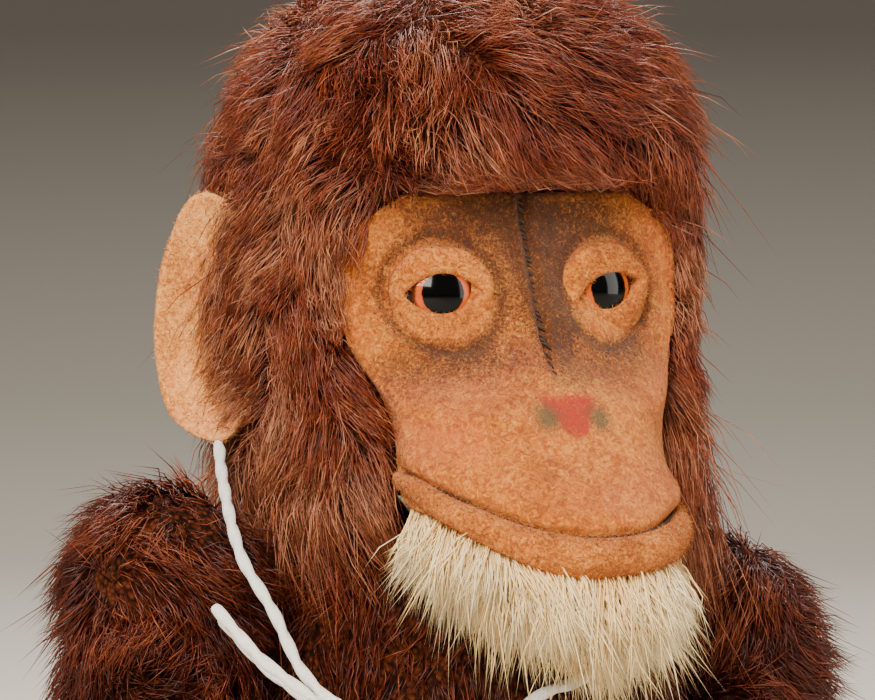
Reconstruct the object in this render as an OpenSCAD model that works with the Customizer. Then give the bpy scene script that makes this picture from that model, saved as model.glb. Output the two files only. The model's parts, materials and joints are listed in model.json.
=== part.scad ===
// Wind-up drumming monkey: a seated plush figure with a clockwork inside its body.
// A key winds the mainspring. The gear train turns a crank, the crank swings a rocker,
// and the rocker lifts the two arms in turn, so that the sticks beat the drum.
// Millimetres, +Z up. The figure faces -Y and its right side is -X.
// The origin is the middle of the flat underside, below the neck.

/* [Head] */
// Height of the eyes above the seat
eye_z = 140; // [139.5:0.1:140.5]
// Half the distance between the eyes
eye_x = 12; // [11.5:0.1:12.3]
// Radius of a glass eye
eye_r = 5.2; // [5:0.1:5.3]
// Radius of an eyelid ring
eyelid_r = 7; // [6.6:0.1:7.2]
// Flat front of the head, measured forward from the neck axis
face_front = 22.5; // [22:0.1:23]
// Thickness of the head's plush and felt skin
head_skin_t = 1.5; // [1.2:0.1:1.6]
// Distance of the muzzle's own axis in front of the neck axis
muzzle_forward = 24; // [23.5:0.1:24.2]
// Height of an ear
ear_h = 32; // [30:0.5:32]
// Thickness of an ear
ear_t = 3; // [2.6:0.1:3.2]

/* [Body] */
// Thickness of the body's plush skin
body_skin_t = 1.2; // [1:0.1:1.4]
// Height of the shoulder axis
shoulder_z = 98; // [98]
// Height of the hip axis
hip_z = 14.3; // [14.2:0.1:14.6]

/* [Drum] */
// Outer radius of the drum shell
drum_r = 20; // [19:0.5:20]
// Distance of the drum's axis in front of the neck axis
drum_forward = 54.5; // [54:0.5:56]
// Height of the lower drum head's underside
drum_z = 26; // [24:0.5:26]
// Height of the drum over both heads
drum_h = 27.8; // [27:0.1:27.8]
// Radius of a drumstick
stick_r = 1.6; // [1.2:0.1:1.6]
// Radius of a drumstick's bead
bead_r = 3; // [2.4:0.1:3]

/* [Clockwork] */
// Module of the first two gear pairs
gear_m = 0.6; // [0.6]
// Module of the governor's gear pair
fast_gear_m = 0.5; // [0.5]
// Radius of the crank pin's circle
crank_throw = 4.66; // [4.4:0.02:4.66]
// Width of the key over both wings
key_w = 26; // [20:1:30]

/* [Cord] */
// Diameter of the tied cotton cord
cord_d = 1.7; // [1.4:0.1:1.7]

/* [Hidden] */

// Colours
mohair_brown = "#7a3a20";
mohair_dark = "#4a1c0c";
mohair_ivory = "#d8d0b8";
felt_peach = "#dca56c";
wool = "#cfc4ae";
steel = "#9a9da0";
brass = "#b8954a";
tin_red = "#b03028";
hide = "#e6dcc0";
birch = "#c99a62";
card = "#8a6b48";
cotton = "#f2efe8";

$fn = 64;
cut = 60;       // length of a tool that cuts right through
eps = 0.1;      // how far a cutting tool passes a face

// Bodies of revolution as [height, radius] levels
torso_levels = [[0, 24], [3, 26.5], [12, 27], [28, 28.5], [45, 31], [65, 31], [85, 28.5],
                [98, 27], [105, 25], [109, 19], [110, 16]];
skull_levels = [[110.4, 12], [112, 20], [116, 26], [120, 29], [128, 32], [140, 33.5],
                [152, 33.5], [162, 31], [170, 25], [175, 15], [177, 3]];
muzzle_levels = [[104, 16], [105, 17.5], [108, 20.5], [114, 20], [120, 15.5], [125, 11],
                 [130, 7], [134, 3], [136, 2]];
head_bottom = skull_levels[0][0];
muzzle_bottom = muzzle_levels[0][0];

// Face
neck_clear_r = 29.6;
face_half_w = 25;
face_top = 152;
face_back = -8;
eye_back = -face_front + head_skin_t;
eye_dome_h = 2;
eye_dome_r = (eye_r * eye_r + eye_dome_h * eye_dome_h) / (2 * eye_dome_h);
eye_dome_y = -face_front - 0.1 - eye_dome_h + eye_dome_r;
eyelid_front = -25.2;
lip_t = 1.6;
lip_top = 109;
beard_r = [36, 44];
beard_z = [93, 104];
beard_half_angle = 22;
ear_root = [32.5, -1];
ear_rim = [37.5, 14];
ear_z = 121;

// Neck joint
neck_disc_r = 13;
bolt_r = 2;

// Frame and train
plate_half_w = 18;
plate_z = [33, 88];
front_plate_y = [-9, -8];
rear_plate_y = [9, 10];
tongue_top = 104;
pressure_angle = 28;
tooth_thinning = 0.06;
great_teeth = 40;
pinion_teeth = 12;
second_teeth = 30;
third_teeth = 28;
fan_teeth = 10;
arbor_at = [0, 48];
second_at = [-9, 60.742];
crank_at = [0, 69.56];
governor_at = [8.2, 64.76];
pivot_r = 1;
pivot_hole_r = 1.1;
arbor_r = 2.2;
arbor_hole_r = 2.3;
pillar_x = 15.5;
pillar_levels = [36, 84];

// Rocker and arms
rocker_y = [-13.6, -12.6];
rocker_half = 14.5;
lever_y = -11;
wire_r = 1.15;
wire_end_x = 16.6;
pin_r = 0.8;
shoulder = [43.5, 0, shoulder_z];
elbow = [46.5, 3, 66];
wrist = [34.8, -30, 64];
hand = [30, -38, 68];
stick_tip = [9, -57.5, 68.4];
arm_r = [12, 10.5, 8.5];
hand_r = 7.5;

// Legs
hip = [41.5, 0, hip_z];
knee = [43, -38, 13.5];
ankle = [42, -68, 12.5];
leg_r = [14, 13, 11];
slim = 0.96;    // a limb's bars are this much slimmer than the balls at its joints
foot_y = [-76, -66];
hip_disc_r = 8;
hip_pin_r = 1.2;

// Cord routes, as points chosen by hand
knot_at = [-20, -30, 78.5];
neck_route = [
    [-20, -30, 78.5], [-29.6, -29.8, 87], [-31.6, -28.8, 88.4], [-33.2, -27.2, 90.3],
    [-34.3, -25, 92.5], [-35, -23, 95.3], [-35.7, -20.5, 98.7], [-36.6, -18, 101.6],
    [-37.7, -15, 105], [-37.5, -11, 108.6], [-36.4, -6, 112.2], [-34.7, 0, 115.9],
    [-32.6, 6, 119], [-30.5, 12.5, 119], [-24, 20, 118.3], [-14, 26.5, 117.5],
    [0, 28.5, 117], [14, 26, 116.5], [24, 18, 116], [30, 8, 114.5], [30, -2, 110.5],
    [26, -10, 104.5], [24.3, -17.5, 101], [18, -26, 96.5], [12.4, -30, 92.6],
    [3, -33.5, 89.9], [-4.6, -34, 87.8], [-12, -32.5, 82.5], [-20, -30, 78.5]
];
tail_route = [[-20, -30, 78.5], [-28, -30, 84.2], [-35, -29.2, 89.4], [-40, -26.4, 93.8],
              [-42.5, -23.8, 97.2], [-44.5, -21.2, 100.4]];
tail_gap = 1.8;
drum_route = [[-20, -30, 78.5], [-19.4, -32.5, 72], [-18.4, -35, 66], [-17.2, -37, 60],
              [-15.6, -38.7, 55.9]];
knot_r = 2.4;
eyelet_at = [-15.6, -38.7, 53.5];

// ---------- helpers ----------

function level_outline(levels, inset) =
    let (z0 = levels[0][0] + inset, z1 = levels[len(levels) - 1][0] - inset)
    concat([[0, z0]],
           [for (l = levels) [max(l[1] - inset, 0.5), min(max(l[0], z0), z1)]],
           [[0, z1]]);

module turned(levels, inset = 0) {
    rotate_extrude($fn = 96) polygon(level_outline(levels, inset));
}

// A cylinder along X, from x0 to x1, through y and z
module rod_x(r, x0, x1, y, z) {
    translate([x0, y, z]) rotate([0, 90, 0]) cylinder(r = r, h = x1 - x0);
}

// A cylinder along Y, from y0 to y1, through x and z
module rod_y(r, y0, y1, x, z) {
    translate([x, y1, z]) rotate([90, 0, 0]) cylinder(r = r, h = y1 - y0);
}

// A block given by its two corners
module block(a, b) {
    translate(a) cube(b - a);
}

// A straight or tapered bar between two points
module bar(a, b, r1, r2) {
    d = b - a;
    translate(a) rotate([0, acos(d[2] / norm(d)), atan2(d[1], d[0])])
        cylinder(r1 = r1, r2 = r2, h = norm(d));
}

module ball(at, r) {
    translate(at) sphere(r = r);
}

module both_sides() {
    children();
    mirror([1, 0, 0]) children();
}

function on_side(side, p) = [side * p[0], p[1], p[2]];

// Points between the route's own points, on a smooth curve
function smooth(p, steps) = concat(
    [for (i = [0:len(p) - 2]) for (k = [0:steps - 1])
        let (t = k / steps, a = p[max(i - 1, 0)], b = p[i], c = p[i + 1],
             d = p[min(i + 2, len(p) - 1)])
        0.5 * (2 * b + (c - a) * t + (2 * a - 5 * b + 4 * c - d) * t * t
               + (3 * b - a - 3 * c + d) * t * t * t)],
    [p[len(p) - 1]]);

function unit(v) = v / norm(v);

// A round tube swept along a list of points, with rings square to the path
module tube(p, r, up = [0, 0, 1], sides = 8) {
    n = len(p);
    rings = [for (i = [0:n - 1])
        let (t = unit(p[min(i + 1, n - 1)] - p[max(i - 1, 0)]),
             u = unit(cross(up, t)), v = cross(t, u))
        for (k = [0:sides - 1]) p[i] + r * (cos(360 * k / sides) * u + sin(360 * k / sides) * v)];
    walls = [for (i = [0:n - 2]) for (k = [0:sides - 1])
        let (a = i * sides + k, b = i * sides + (k + 1) % sides)
        each [[a, a + sides, b + sides], [a, b + sides, b]]];
    caps = [[for (k = [0:sides - 1]) k], [for (k = [sides - 1:-1:0]) (n - 1) * sides + k]];
    polyhedron(points = rings, faces = concat(walls, caps), convexity = 6);
}

// Involute gears, in the XY plane with tooth 0 on the X axis
function involute_degrees(a) = (tan(a) - a * PI / 180) * 180 / PI;

function tooth_half_angle(teeth, m, r) =
    let (rp = teeth * m / 2, rb = rp * cos(pressure_angle))
    90 / teeth - tooth_thinning / rp * 180 / PI + involute_degrees(pressure_angle)
        - (r > rb ? involute_degrees(acos(rb / r)) : 0);

function gear_outline(teeth, m) =
    let (rp = teeth * m / 2, rb = rp * cos(pressure_angle), rf = rp - 1.2 * m, ra = rp + 0.9 * m,
         radii = rf < rb ? [rf, rb, rp, ra] : [rf, rp, ra], n = len(radii))
    [for (i = [0:teeth - 1]) for (k = [0:2 * n - 1])
        let (r = k < n ? radii[k] : radii[2 * n - 1 - k],
             a = 360 * i / teeth + (k < n ? -1 : 1) * tooth_half_angle(teeth, m, max(r, rf)))
        r * [cos(a), sin(a)]];

module gear(teeth, m, at, y, turn) {
    translate([at[0], y[1], at[1]]) rotate([90, 0, 0]) rotate(turn)
        linear_extrude(y[1] - y[0]) polygon(gear_outline(teeth, m));
}

function direction(from, to) = atan2(to[1] - from[1], to[0] - from[0]);
function mate_turn(from, to, teeth) = direction(from, to) + 180 + 180 / teeth;

// ---------- body ----------

module neck_hole(r) {
    translate([0, 0, tongue_top]) cylinder(r = r, h = 30);
}

module strip_slot() {
    block([-4.3, -cut, 37.7], [4.3, -10, 39.5]);
}

module torso_skin() {
    color(mohair_dark) difference() {
        turned(torso_levels);
        turned(torso_levels, body_skin_t);
        neck_hole(bolt_r + 0.3);
        rod_x(3, -cut, cut, 0, shoulder_z);
        rod_x(hip_pin_r + 0.3, -cut, cut, 0, hip_z);
        rod_y(4.5, 20, cut, arbor_at[0], arbor_at[1]);
        strip_slot();
    }
}

module torso_stuffing() {
    color(wool) difference() {
        turned(torso_levels, body_skin_t);
        block([-20.5, -15, 30], [20.5, 12.5, 88]);
        block([-20.5, -15, 87.9], [20.5, 6, 106]);
        translate([0, 0, 105.9]) cylinder(r = neck_disc_r + 0.2, h = 5);
        rod_x(3, -cut, cut, 0, shoulder_z);
        rod_x(hip_pin_r + 0.2, -cut, cut, 0, hip_z);
        both_sides() rod_x(2.6, 17.8, 19.9, 0, hip_z);
        both_sides() rod_x(hip_disc_r + 0.2, 19.8, 22.2, 0, hip_z);
        rod_y(4.7, 10, cut, arbor_at[0], arbor_at[1]);
        strip_slot();
    }
}

// A frame plate in the XZ plane, with the holes of the train
module frame_plate(y, first_hole_r) {
    difference() {
        block([-plate_half_w, y[0], plate_z[0]], [plate_half_w, y[1], plate_z[1]]);
        rod_y(first_hole_r, -cut, cut, arbor_at[0], arbor_at[1]);
        for (at = [second_at, crank_at, governor_at])
            rod_y(pivot_hole_r, -cut, cut, at[0], at[1]);
    }
}

module front_frame_plate() {
    color(steel) difference() {
        union() {
            frame_plate(front_plate_y, 1.6);
            block([-8, front_plate_y[0], plate_z[1]], [8, front_plate_y[1], tongue_top]);
        }
        rod_y(1.5, -cut, cut, 0, shoulder_z);
        for (z = [36, 41.2]) rod_y(0.85, -cut, cut, 0, z);
    }
}

module rear_frame_plate() {
    color(steel) frame_plate(rear_plate_y, arbor_hole_r);
}

module frame_pillars() {
    color(brass) both_sides() for (z = pillar_levels)
        rod_y(1.5, front_plate_y[1], rear_plate_y[0], pillar_x, z);
}

module shoulder_brackets() {
    color(steel) both_sides() difference() {
        union() {
            block([plate_half_w, front_plate_y[0], 70], [19.2, rear_plate_y[1], 87]);
            block([plate_half_w, -5, 87], [19.2, 5, 103]);
        }
        rod_x(2.4, 10, 30, 0, shoulder_z);
    }
}

module shoulder_bushes() {
    color(brass) both_sides() difference() {
        rod_x(2.4, plate_half_w, 22.5, 0, shoulder_z);
        rod_x(wire_r + 0.1, 10, 30, 0, shoulder_z);
    }
}

module neck_bridge() {
    color(steel) block([-8, front_plate_y[0], tongue_top], [8, 5, tongue_top + 1.2]);
}

module neck_bolt() {
    color(steel) translate([0, 0, tongue_top + 1.2]) cylinder(r = bolt_r, h = 13.8);
}

module neck_disc_lower() {
    color(card) difference() {
        translate([0, 0, 106.6]) cylinder(r = neck_disc_r, h = 2);
        neck_hole(bolt_r + 0.1);
    }
}

module neck_nut() {
    color(steel) difference() {
        translate([0, 0, 114.4]) cylinder(r = 3.5, h = 2.6, $fn = 6);
        neck_hole(bolt_r + 0.05);
    }
}

module mainspring() {
    turns = 7;
    steps = 24;
    t = 0.35;
    inner = [for (i = [0:turns * steps]) let (a = 360 * i / steps, r = 2.7 + 10.4 * i / (turns * steps))
        r * [cos(a), sin(a)]];
    outer = [for (i = [turns * steps:-1:0]) let (a = 360 * i / steps, r = 2.7 + t + 10.4 * i / (turns * steps))
        r * [cos(a), sin(a)]];
    color(steel) translate([arbor_at[0], 6.6, arbor_at[1]]) rotate([90, 0, 0])
        linear_extrude(8.4) polygon(concat(inner, outer));
}

module rocker_stud() {
    color(steel) {
        rod_y(1.5, -14, front_plate_y[1], 0, shoulder_z);
        rod_y(2.6, -14.8, -14, 0, shoulder_z);
    }
}

module key_grommet() {
    color(brass) difference() {
        union() {
            rod_y(4.5, 29.4, 31.3, arbor_at[0], arbor_at[1]);
            rod_y(6.5, 31.2, 32, arbor_at[0], arbor_at[1]);
        }
        rod_y(3, 20, cut, arbor_at[0], arbor_at[1]);
    }
}

// ---------- drum ----------

module at_drum(z) {
    translate([0, -drum_forward, z]) children();
}

module ring(r_out, r_in, h) {
    difference() {
        cylinder(r = r_out, h = h, $fn = 96);
        translate([0, 0, -eps]) cylinder(r = r_in, h = h + 2 * eps, $fn = 96);
    }
}

module drum_bracket() {
    back = front_plate_y[0];
    color(steel) difference() {
        union() {
            block([-4, back - 1, 34.5], [4, back, 43]);
            difference() {
                block([-4, -40, 38], [4, back - 0.9, 39.2]);
                at_drum(30) cylinder(r = drum_r, h = 20, $fn = 96);
            }
            intersection() {
                at_drum(33.5) ring(drum_r + 1, drum_r, 10);
                block([-5, -40, 30], [5, -30, 50]);
            }
        }
        for (z = [35, 42]) rod_y(0.85, -40, -30, 0, z);
        for (z = [36, 41.2]) rod_y(0.85, -12, -8, 0, z);
    }
}

module drum_shell() {
    color(tin_red) difference() {
        at_drum(drum_z + 0.5) ring(drum_r, drum_r - 0.6, drum_h - 1);
        for (z = [35, 42]) rod_y(0.85, -40, -30, 0, z);
    }
}

module drum_head(z) {
    color(hide) at_drum(z) cylinder(r = drum_r, h = 0.5, $fn = 96);
}

module drum_top_head() {
    drum_head(drum_z + drum_h - 0.5);
}

module drum_bottom_head() {
    drum_head(drum_z);
}

module drum_hoops() {
    color(brass) for (z = [drum_z - 0.8, drum_z + drum_h - 3.3])
        at_drum(z) ring(drum_r + 1.4, drum_r, 4.1);
}

module drum_rivets() {
    color(brass) {
        for (z = [35, 42]) rod_y(0.8, -35.6, -33, 0, z);
        for (z = [36, 41.2]) rod_y(0.8, -10.4, -7.8, 0, z);
    }
}

module drum_eyelet() {
    color(brass) difference() {
        translate(eyelet_at) rotate([0, 90, 45])
            rotate_extrude($fn = 48) translate([1.5, 0]) circle(r = 0.45, $fn = 24);
        at_drum(drum_z) cylinder(r = drum_r + 1.4, h = 40, $fn = 96);
    }
}

// ---------- hips ----------

module hip_pins() {
    color(steel) both_sides() {
        rod_x(hip_pin_r, 18.8, 32.2, 0, hip_z);
        rod_x(2.4, 18, 18.9, 0, hip_z);
        rod_x(2.4, 32.1, 33, 0, hip_z);
    }
}

module hip_discs() {
    color(card) both_sides() difference() {
        rod_x(hip_disc_r, 20, 22, 0, hip_z);
        rod_x(hip_pin_r + 0.05, 10, 40, 0, hip_z);
    }
}

// ---------- cord ----------

module neck_cord() {
    color(cotton) difference() {
        tube(smooth(neck_route, 2), cord_d / 2);
        ball(knot_at, knot_r);
    }
}

module cord_knot() {
    color(cotton) ball(knot_at, knot_r);
}

module cord_tails() {
    color(cotton) difference() {
        union() {
            tube(smooth(tail_route, 1), cord_d / 2);
            translate([tail_gap * 0.55, 0, -tail_gap * 0.9]) tube(smooth(tail_route, 1), cord_d / 2);
        }
        ball(knot_at, knot_r);
        tube(smooth([for (i = [0:4]) neck_route[i]], 2), cord_d / 2 + 0.1);
    }
}

module drum_cord() {
    color(cotton) difference() {
        tube(smooth(drum_route, 1), cord_d / 2, [1, 0, 0]);
        ball(knot_at, knot_r);
    }
}

// ---------- head ----------

// The head's whole form, shrunk by the inset on every side
module head_form(inset) {
    difference() {
        union() {
            difference() {
                turned(skull_levels, inset);
                block([-cut, -cut, 100], [cut, -face_front + inset, 200]);
            }
            translate([0, -muzzle_forward, 0]) turned(muzzle_levels, inset);
        }
        translate([0, 0, 95]) cylinder(r = neck_clear_r + inset, h = head_bottom + inset - 95, $fn = 96);
    }
}

module face_zone() {
    block([-face_half_w, -cut, 90], [face_half_w, face_back, face_top]);
}

module eye_hole(r) {
    both_sides() rod_y(r, -30, -15, eye_x, eye_z);
}

module head_skin() {
    color(mohair_brown) difference() {
        head_form(0);
        head_form(head_skin_t);
        face_zone();
        neck_hole(bolt_r + 0.3);
    }
}

module head_stuffing() {
    color(wool) difference() {
        head_form(head_skin_t);
        both_sides() rod_y(0.8, -30, -9.8, eye_x, eye_z);
        translate([0, 0, 110]) cylinder(r = neck_disc_r + 0.2, h = 4.2);
        translate([0, 0, 110]) cylinder(r = 4.2, h = 11);
    }
}

module face_felt() {
    color(felt_peach) difference() {
        intersection() {
            head_form(0);
            face_zone();
        }
        head_form(head_skin_t);
        eye_hole(eye_r + 0.2);
    }
}

module lower_lip() {
    low = muzzle_bottom - 0.4;
    outline = concat([[0, low], [muzzle_levels[0][1] + lip_t, low]],
        [for (l = muzzle_levels) if (l[0] <= lip_top) [l[1] + lip_t, l[0]]],
        [[muzzle_levels[2][1] + lip_t, lip_top], [0, lip_top]]);
    color(felt_peach) difference() {
        translate([0, -muzzle_forward, 0]) rotate_extrude($fn = 96) polygon(outline);
        translate([0, -muzzle_forward, 0]) turned(muzzle_levels);
        translate([0, 0, 95]) cylinder(r = neck_clear_r + 0.5, h = 30, $fn = 96);
        block([-cut, -muzzle_forward, 90], [cut, cut, 120]);
    }
}

module ear(side) {
    across = norm(ear_rim - ear_root);
    turn = atan2(ear_rim[1] - ear_root[1], ear_rim[0] - ear_root[0]);
    r = across / 2;
    color(felt_peach) mirror([side < 0 ? 1 : 0, 0, 0]) difference() {
        translate([ear_root[0], ear_root[1], 0]) rotate([0, 0, turn]) difference() {
            union() {
                rod_y(r, -ear_t / 2, ear_t / 2, r, ear_z + r);
                rod_y(r, -ear_t / 2, ear_t / 2, r, ear_z + ear_h - r);
                block([0, -ear_t / 2, ear_z + r], [across, ear_t / 2, ear_z + ear_h - r]);
            }
            for (z = [ear_z + r, ear_z + ear_h - r]) rod_y(r - 2.6, -ear_t, -0.4, r, z);
        }
        turned(skull_levels);
    }
}

module glass_eyes() {
    color("#3a1c0c") both_sides() intersection() {
        ball([eye_x, eye_dome_y, eye_z], eye_dome_r);
        rod_y(eye_r, -30, eye_back, eye_x, eye_z);
    }
}

module eyelids() {
    color(felt_peach) both_sides() difference() {
        rod_y(eyelid_r, eyelid_front, -face_front - 0.05, eye_x, eye_z);
        intersection() {
            rod_y(9.3, -30, -20, eye_x, eye_z + 6.5);
            rod_y(9.3, -30, -20, eye_x, eye_z - 6.5);
        }
        ball([eye_x, eye_dome_y, eye_z], eye_dome_r + 0.1);
        rod_y(eye_r + 0.2, -face_front - 0.2, -20, eye_x, eye_z);
    }
}

module eye_shanks() {
    color(steel) both_sides() rod_y(0.6, eye_back, -10, eye_x, eye_z);
}

module chin_beard() {
    half = beard_half_angle;
    reach = 2 * beard_r[1];
    color(mohair_ivory) intersection() {
        translate([0, 0, beard_z[0]]) ring(beard_r[1], beard_r[0], beard_z[1] - beard_z[0] - 0.45);
        translate([0, 0, beard_z[0] - 1]) linear_extrude(20)
            polygon([[0, 0], reach * [-sin(half), -cos(half)], reach * [sin(half), -cos(half)]]);
    }
}

module neck_disc_upper() {
    color(card) difference() {
        translate([0, 0, 112]) cylinder(r = neck_disc_r, h = 2);
        neck_hole(bolt_r + 0.1);
    }
}

// ---------- arms ----------

module arm_wire_path(side, r) {
    s = on_side(side, [44, 0, shoulder_z]);
    e = on_side(side, elbow);
    w = on_side(side, wrist);
    bar(on_side(side, [22.4, 0, shoulder_z]), s, r, r);
    ball(s, 1.15 * r);
    bar(s, e, r, r);
    ball(e, 1.15 * r);
    bar(e, w, r, r);
}

module arm_form(side) {
    s = on_side(side, shoulder);
    e = on_side(side, elbow);
    w = on_side(side, wrist);
    ball(s, arm_r[0]);
    bar(s, e, slim * arm_r[0], slim * arm_r[1]);
    ball(e, arm_r[1]);
    bar(e, w, slim * arm_r[1], slim * arm_r[2]);
    ball(w, arm_r[2]);
}

module arm_plush(side) {
    color(mohair_dark) difference() {
        arm_form(side);
        arm_wire_path(side, wire_r + 0.15);
        ball(on_side(side, wrist), 2);
        stick_bar(side, stick_r + 0.2);
    }
}

function stick_dir(side) = unit(on_side(side, stick_tip) - on_side(side, hand));

module stick_bar(side, r) {
    bar(on_side(side, hand) - 9 * stick_dir(side), on_side(side, stick_tip), r, r);
}

module felt_hand(side) {
    d = stick_dir(side);
    color(felt_peach) difference() {
        translate(on_side(side, hand)) rotate([0, acos(d[2]), atan2(d[1], d[0])])
            rotate_extrude() difference() {
                circle(r = hand_r);
                translate([-hand_r, -hand_r]) square([hand_r + stick_r + 0.1, 2 * hand_r]);
            }
        ball(on_side(side, wrist), arm_r[2]);
    }
}

module arm_wire(side) {
    end = on_side(side, [wire_end_x, 0, shoulder_z]);
    lever = on_side(side, [wire_end_x, lever_y, shoulder_z]);
    color(steel) {
        arm_wire_path(side, wire_r);
        bar(end, on_side(side, [22.5, 0, shoulder_z]), wire_r, wire_r);
        ball(end, 1.15 * wire_r);
        bar(end, lever, wire_r, pin_r);
        ball(lever, 1.15 * pin_r);
        bar(lever, on_side(side, [12.4, lever_y, shoulder_z]), pin_r, pin_r);
    }
}

module drumstick(side) {
    color(birch) {
        stick_bar(side, stick_r);
        ball(on_side(side, stick_tip), bead_r);
    }
}

module right_arm_plush() {
    arm_plush(-1);
}

module left_arm_plush() {
    arm_plush(1);
}

module right_hand() {
    felt_hand(-1);
}

module left_hand() {
    felt_hand(1);
}

module right_arm_wire() {
    arm_wire(-1);
}

module left_arm_wire() {
    arm_wire(1);
}

module right_drumstick() {
    drumstick(-1);
}

module left_drumstick() {
    drumstick(1);
}

// ---------- legs ----------

module leg_plush(side) {
    h = on_side(side, hip);
    k = on_side(side, knee);
    a = on_side(side, ankle);
    color(mohair_dark) difference() {
        union() {
            ball(h, leg_r[0]);
            bar(h, k, slim * leg_r[0], slim * leg_r[1]);
            ball(k, leg_r[1]);
            bar(k, a, slim * leg_r[1], slim * leg_r[2]);
        }
        block([-cut, -90, -10], [cut, foot_y[1], 50]);
        mirror([side < 0 ? 1 : 0, 0, 0]) {
            rod_x(hip_pin_r + 0.3, 20, 33.2, 0, hip_z);
            rod_x(hip_disc_r + 0.2, 28.8, 31.2, 0, hip_z);
            rod_x(2.8, 31.1, 33.3, 0, hip_z);
        }
    }
}

module foot(side) {
    x = side * 42;
    color(felt_peach) {
        rod_y(11, foot_y[0], foot_y[1], x, 29);
        rod_y(11, foot_y[0], foot_y[1], x, 11.6);
        block([x - 11, foot_y[0], 11.6], [x + 11, foot_y[1], 29]);
    }
}

module leg_disc(side) {
    color(card) mirror([side < 0 ? 1 : 0, 0, 0]) difference() {
        rod_x(hip_disc_r, 29, 31, 0, hip_z);
        rod_x(hip_pin_r + 0.05, 20, 40, 0, hip_z);
    }
}

module right_leg_plush() {
    leg_plush(-1);
}

module left_leg_plush() {
    leg_plush(1);
}

module right_foot() {
    foot(-1);
}

module left_foot() {
    foot(1);
}

module right_leg_disc() {
    leg_disc(-1);
}

module left_leg_disc() {
    leg_disc(1);
}

// ---------- clockwork ----------

module winding_key() {
    t = 1.6;
    w = key_w / 2;
    color(brass) translate([arbor_at[0], 0, arbor_at[1]]) difference() {
        union() {
            rod_y(3, 36, 44, 0, 0);
            both_sides() rod_y_disc(w - 7, t);
            block([-w + 7, 42, -t / 2], [w - 7, 50, t / 2]);
        }
        rod_y(arbor_r, 30, 42, 0, 0);
        both_sides() translate([w - 7, 49.5, -5]) cylinder(r = 1.8, h = 10);
    }
}

// One round wing of the key, lying flat across its axis
module rod_y_disc(x, t) {
    translate([x, 49.5, -t / 2]) cylinder(r = 7, h = t);
}

module winding_arbor() {
    r = 4.5;
    teeth = 12;
    color(steel) {
        rod_y(1.5, front_plate_y[0] + 0.1, -7.8, arbor_at[0], arbor_at[1]);
        rod_y(arbor_r, -7.85, 42, arbor_at[0], arbor_at[1]);
        translate([arbor_at[0], -4.2, arbor_at[1]]) rotate([90, 0, 0]) linear_extrude(1.2)
            polygon([for (i = [0:teeth - 1]) each [r * [cos(360 * i / teeth), sin(360 * i / teeth)],
                     (r - 0.9) * [cos(360 * i / teeth + 5), sin(360 * i / teeth + 5)]]]);
    }
}

module great_wheel() {
    color(brass) difference() {
        gear(great_teeth, gear_m, arbor_at, [-7, -5.8], direction(arbor_at, second_at));
        rod_y(arbor_hole_r, -10, 0, arbor_at[0], arbor_at[1]);
    }
}

module click() {
    color(steel) difference() {
        union() {
            rod_y(1.6, -5.8, -4.6, 7.6, 51);
            rod_y(0.9, -5.8, -4.6, 4.6, 51.3);
            block([4.6, -5.8, 50.4], [7.6, -4.6, 52.2]);
        }
        rod_y(4.75, -10, 0, arbor_at[0], arbor_at[1]);
    }
}

// A plain arbor between the plates, with a thinner pivot at each end
module train_arbor(at, front_end) {
    rod_y(1.3, -7.7, 8.7, at[0], at[1]);
    rod_y(pivot_r, front_end, 9.9, at[0], at[1]);
}

module second_wheel() {
    color(brass) {
        gear(pinion_teeth, gear_m, second_at, [-7.4, -5.4], mate_turn(arbor_at, second_at, pinion_teeth));
        gear(second_teeth, gear_m, second_at, [-3.6, -2.6], direction(second_at, crank_at));
        train_arbor(second_at, -8.9);
    }
}

module crank_wheel() {
    color(brass) {
        gear(pinion_teeth, gear_m, crank_at, [-4.1, -2.1], mate_turn(second_at, crank_at, pinion_teeth));
        gear(third_teeth, fast_gear_m, crank_at, [-0.5, 0.5], direction(crank_at, governor_at));
        train_arbor(crank_at, -9.8);
        rod_y(6.5, -10.6, -9.6, crank_at[0], crank_at[1]);
        rod_y(1.1, -12.2, -10.5, crank_at[0], crank_at[1] + crank_throw);
    }
}

module governor() {
    color(brass) {
        gear(fan_teeth, fast_gear_m, governor_at, [-1, 1], mate_turn(crank_at, governor_at, fan_teeth));
        train_arbor(governor_at, -8.9);
        block([governor_at[0] - 4.5, 3, governor_at[1] - 0.5], [governor_at[0] + 4.5, 6, governor_at[1] + 0.5]);
    }
}

module rocker() {
    color(steel) difference() {
        union() {
            block([-rocker_half, rocker_y[0], 96.2], [rocker_half, rocker_y[1], 99.8]);
            block([-3, rocker_y[0], 61.5], [3, rocker_y[1], 96.3]);
            rod_y(3.5, rocker_y[0], rocker_y[1], 0, shoulder_z);
            both_sides() block([13.5, rocker_y[0], 95.2], [rocker_half, -8.9, 100.8]);
        }
        rod_y(1.55, -cut, cut, 0, shoulder_z);
        rod_x(1.45, -cut, cut, lever_y, shoulder_z);
        block([-1.3, -cut, crank_at[1] - 6.2], [1.3, cut, crank_at[1] + 6.2]);
    }
}

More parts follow.
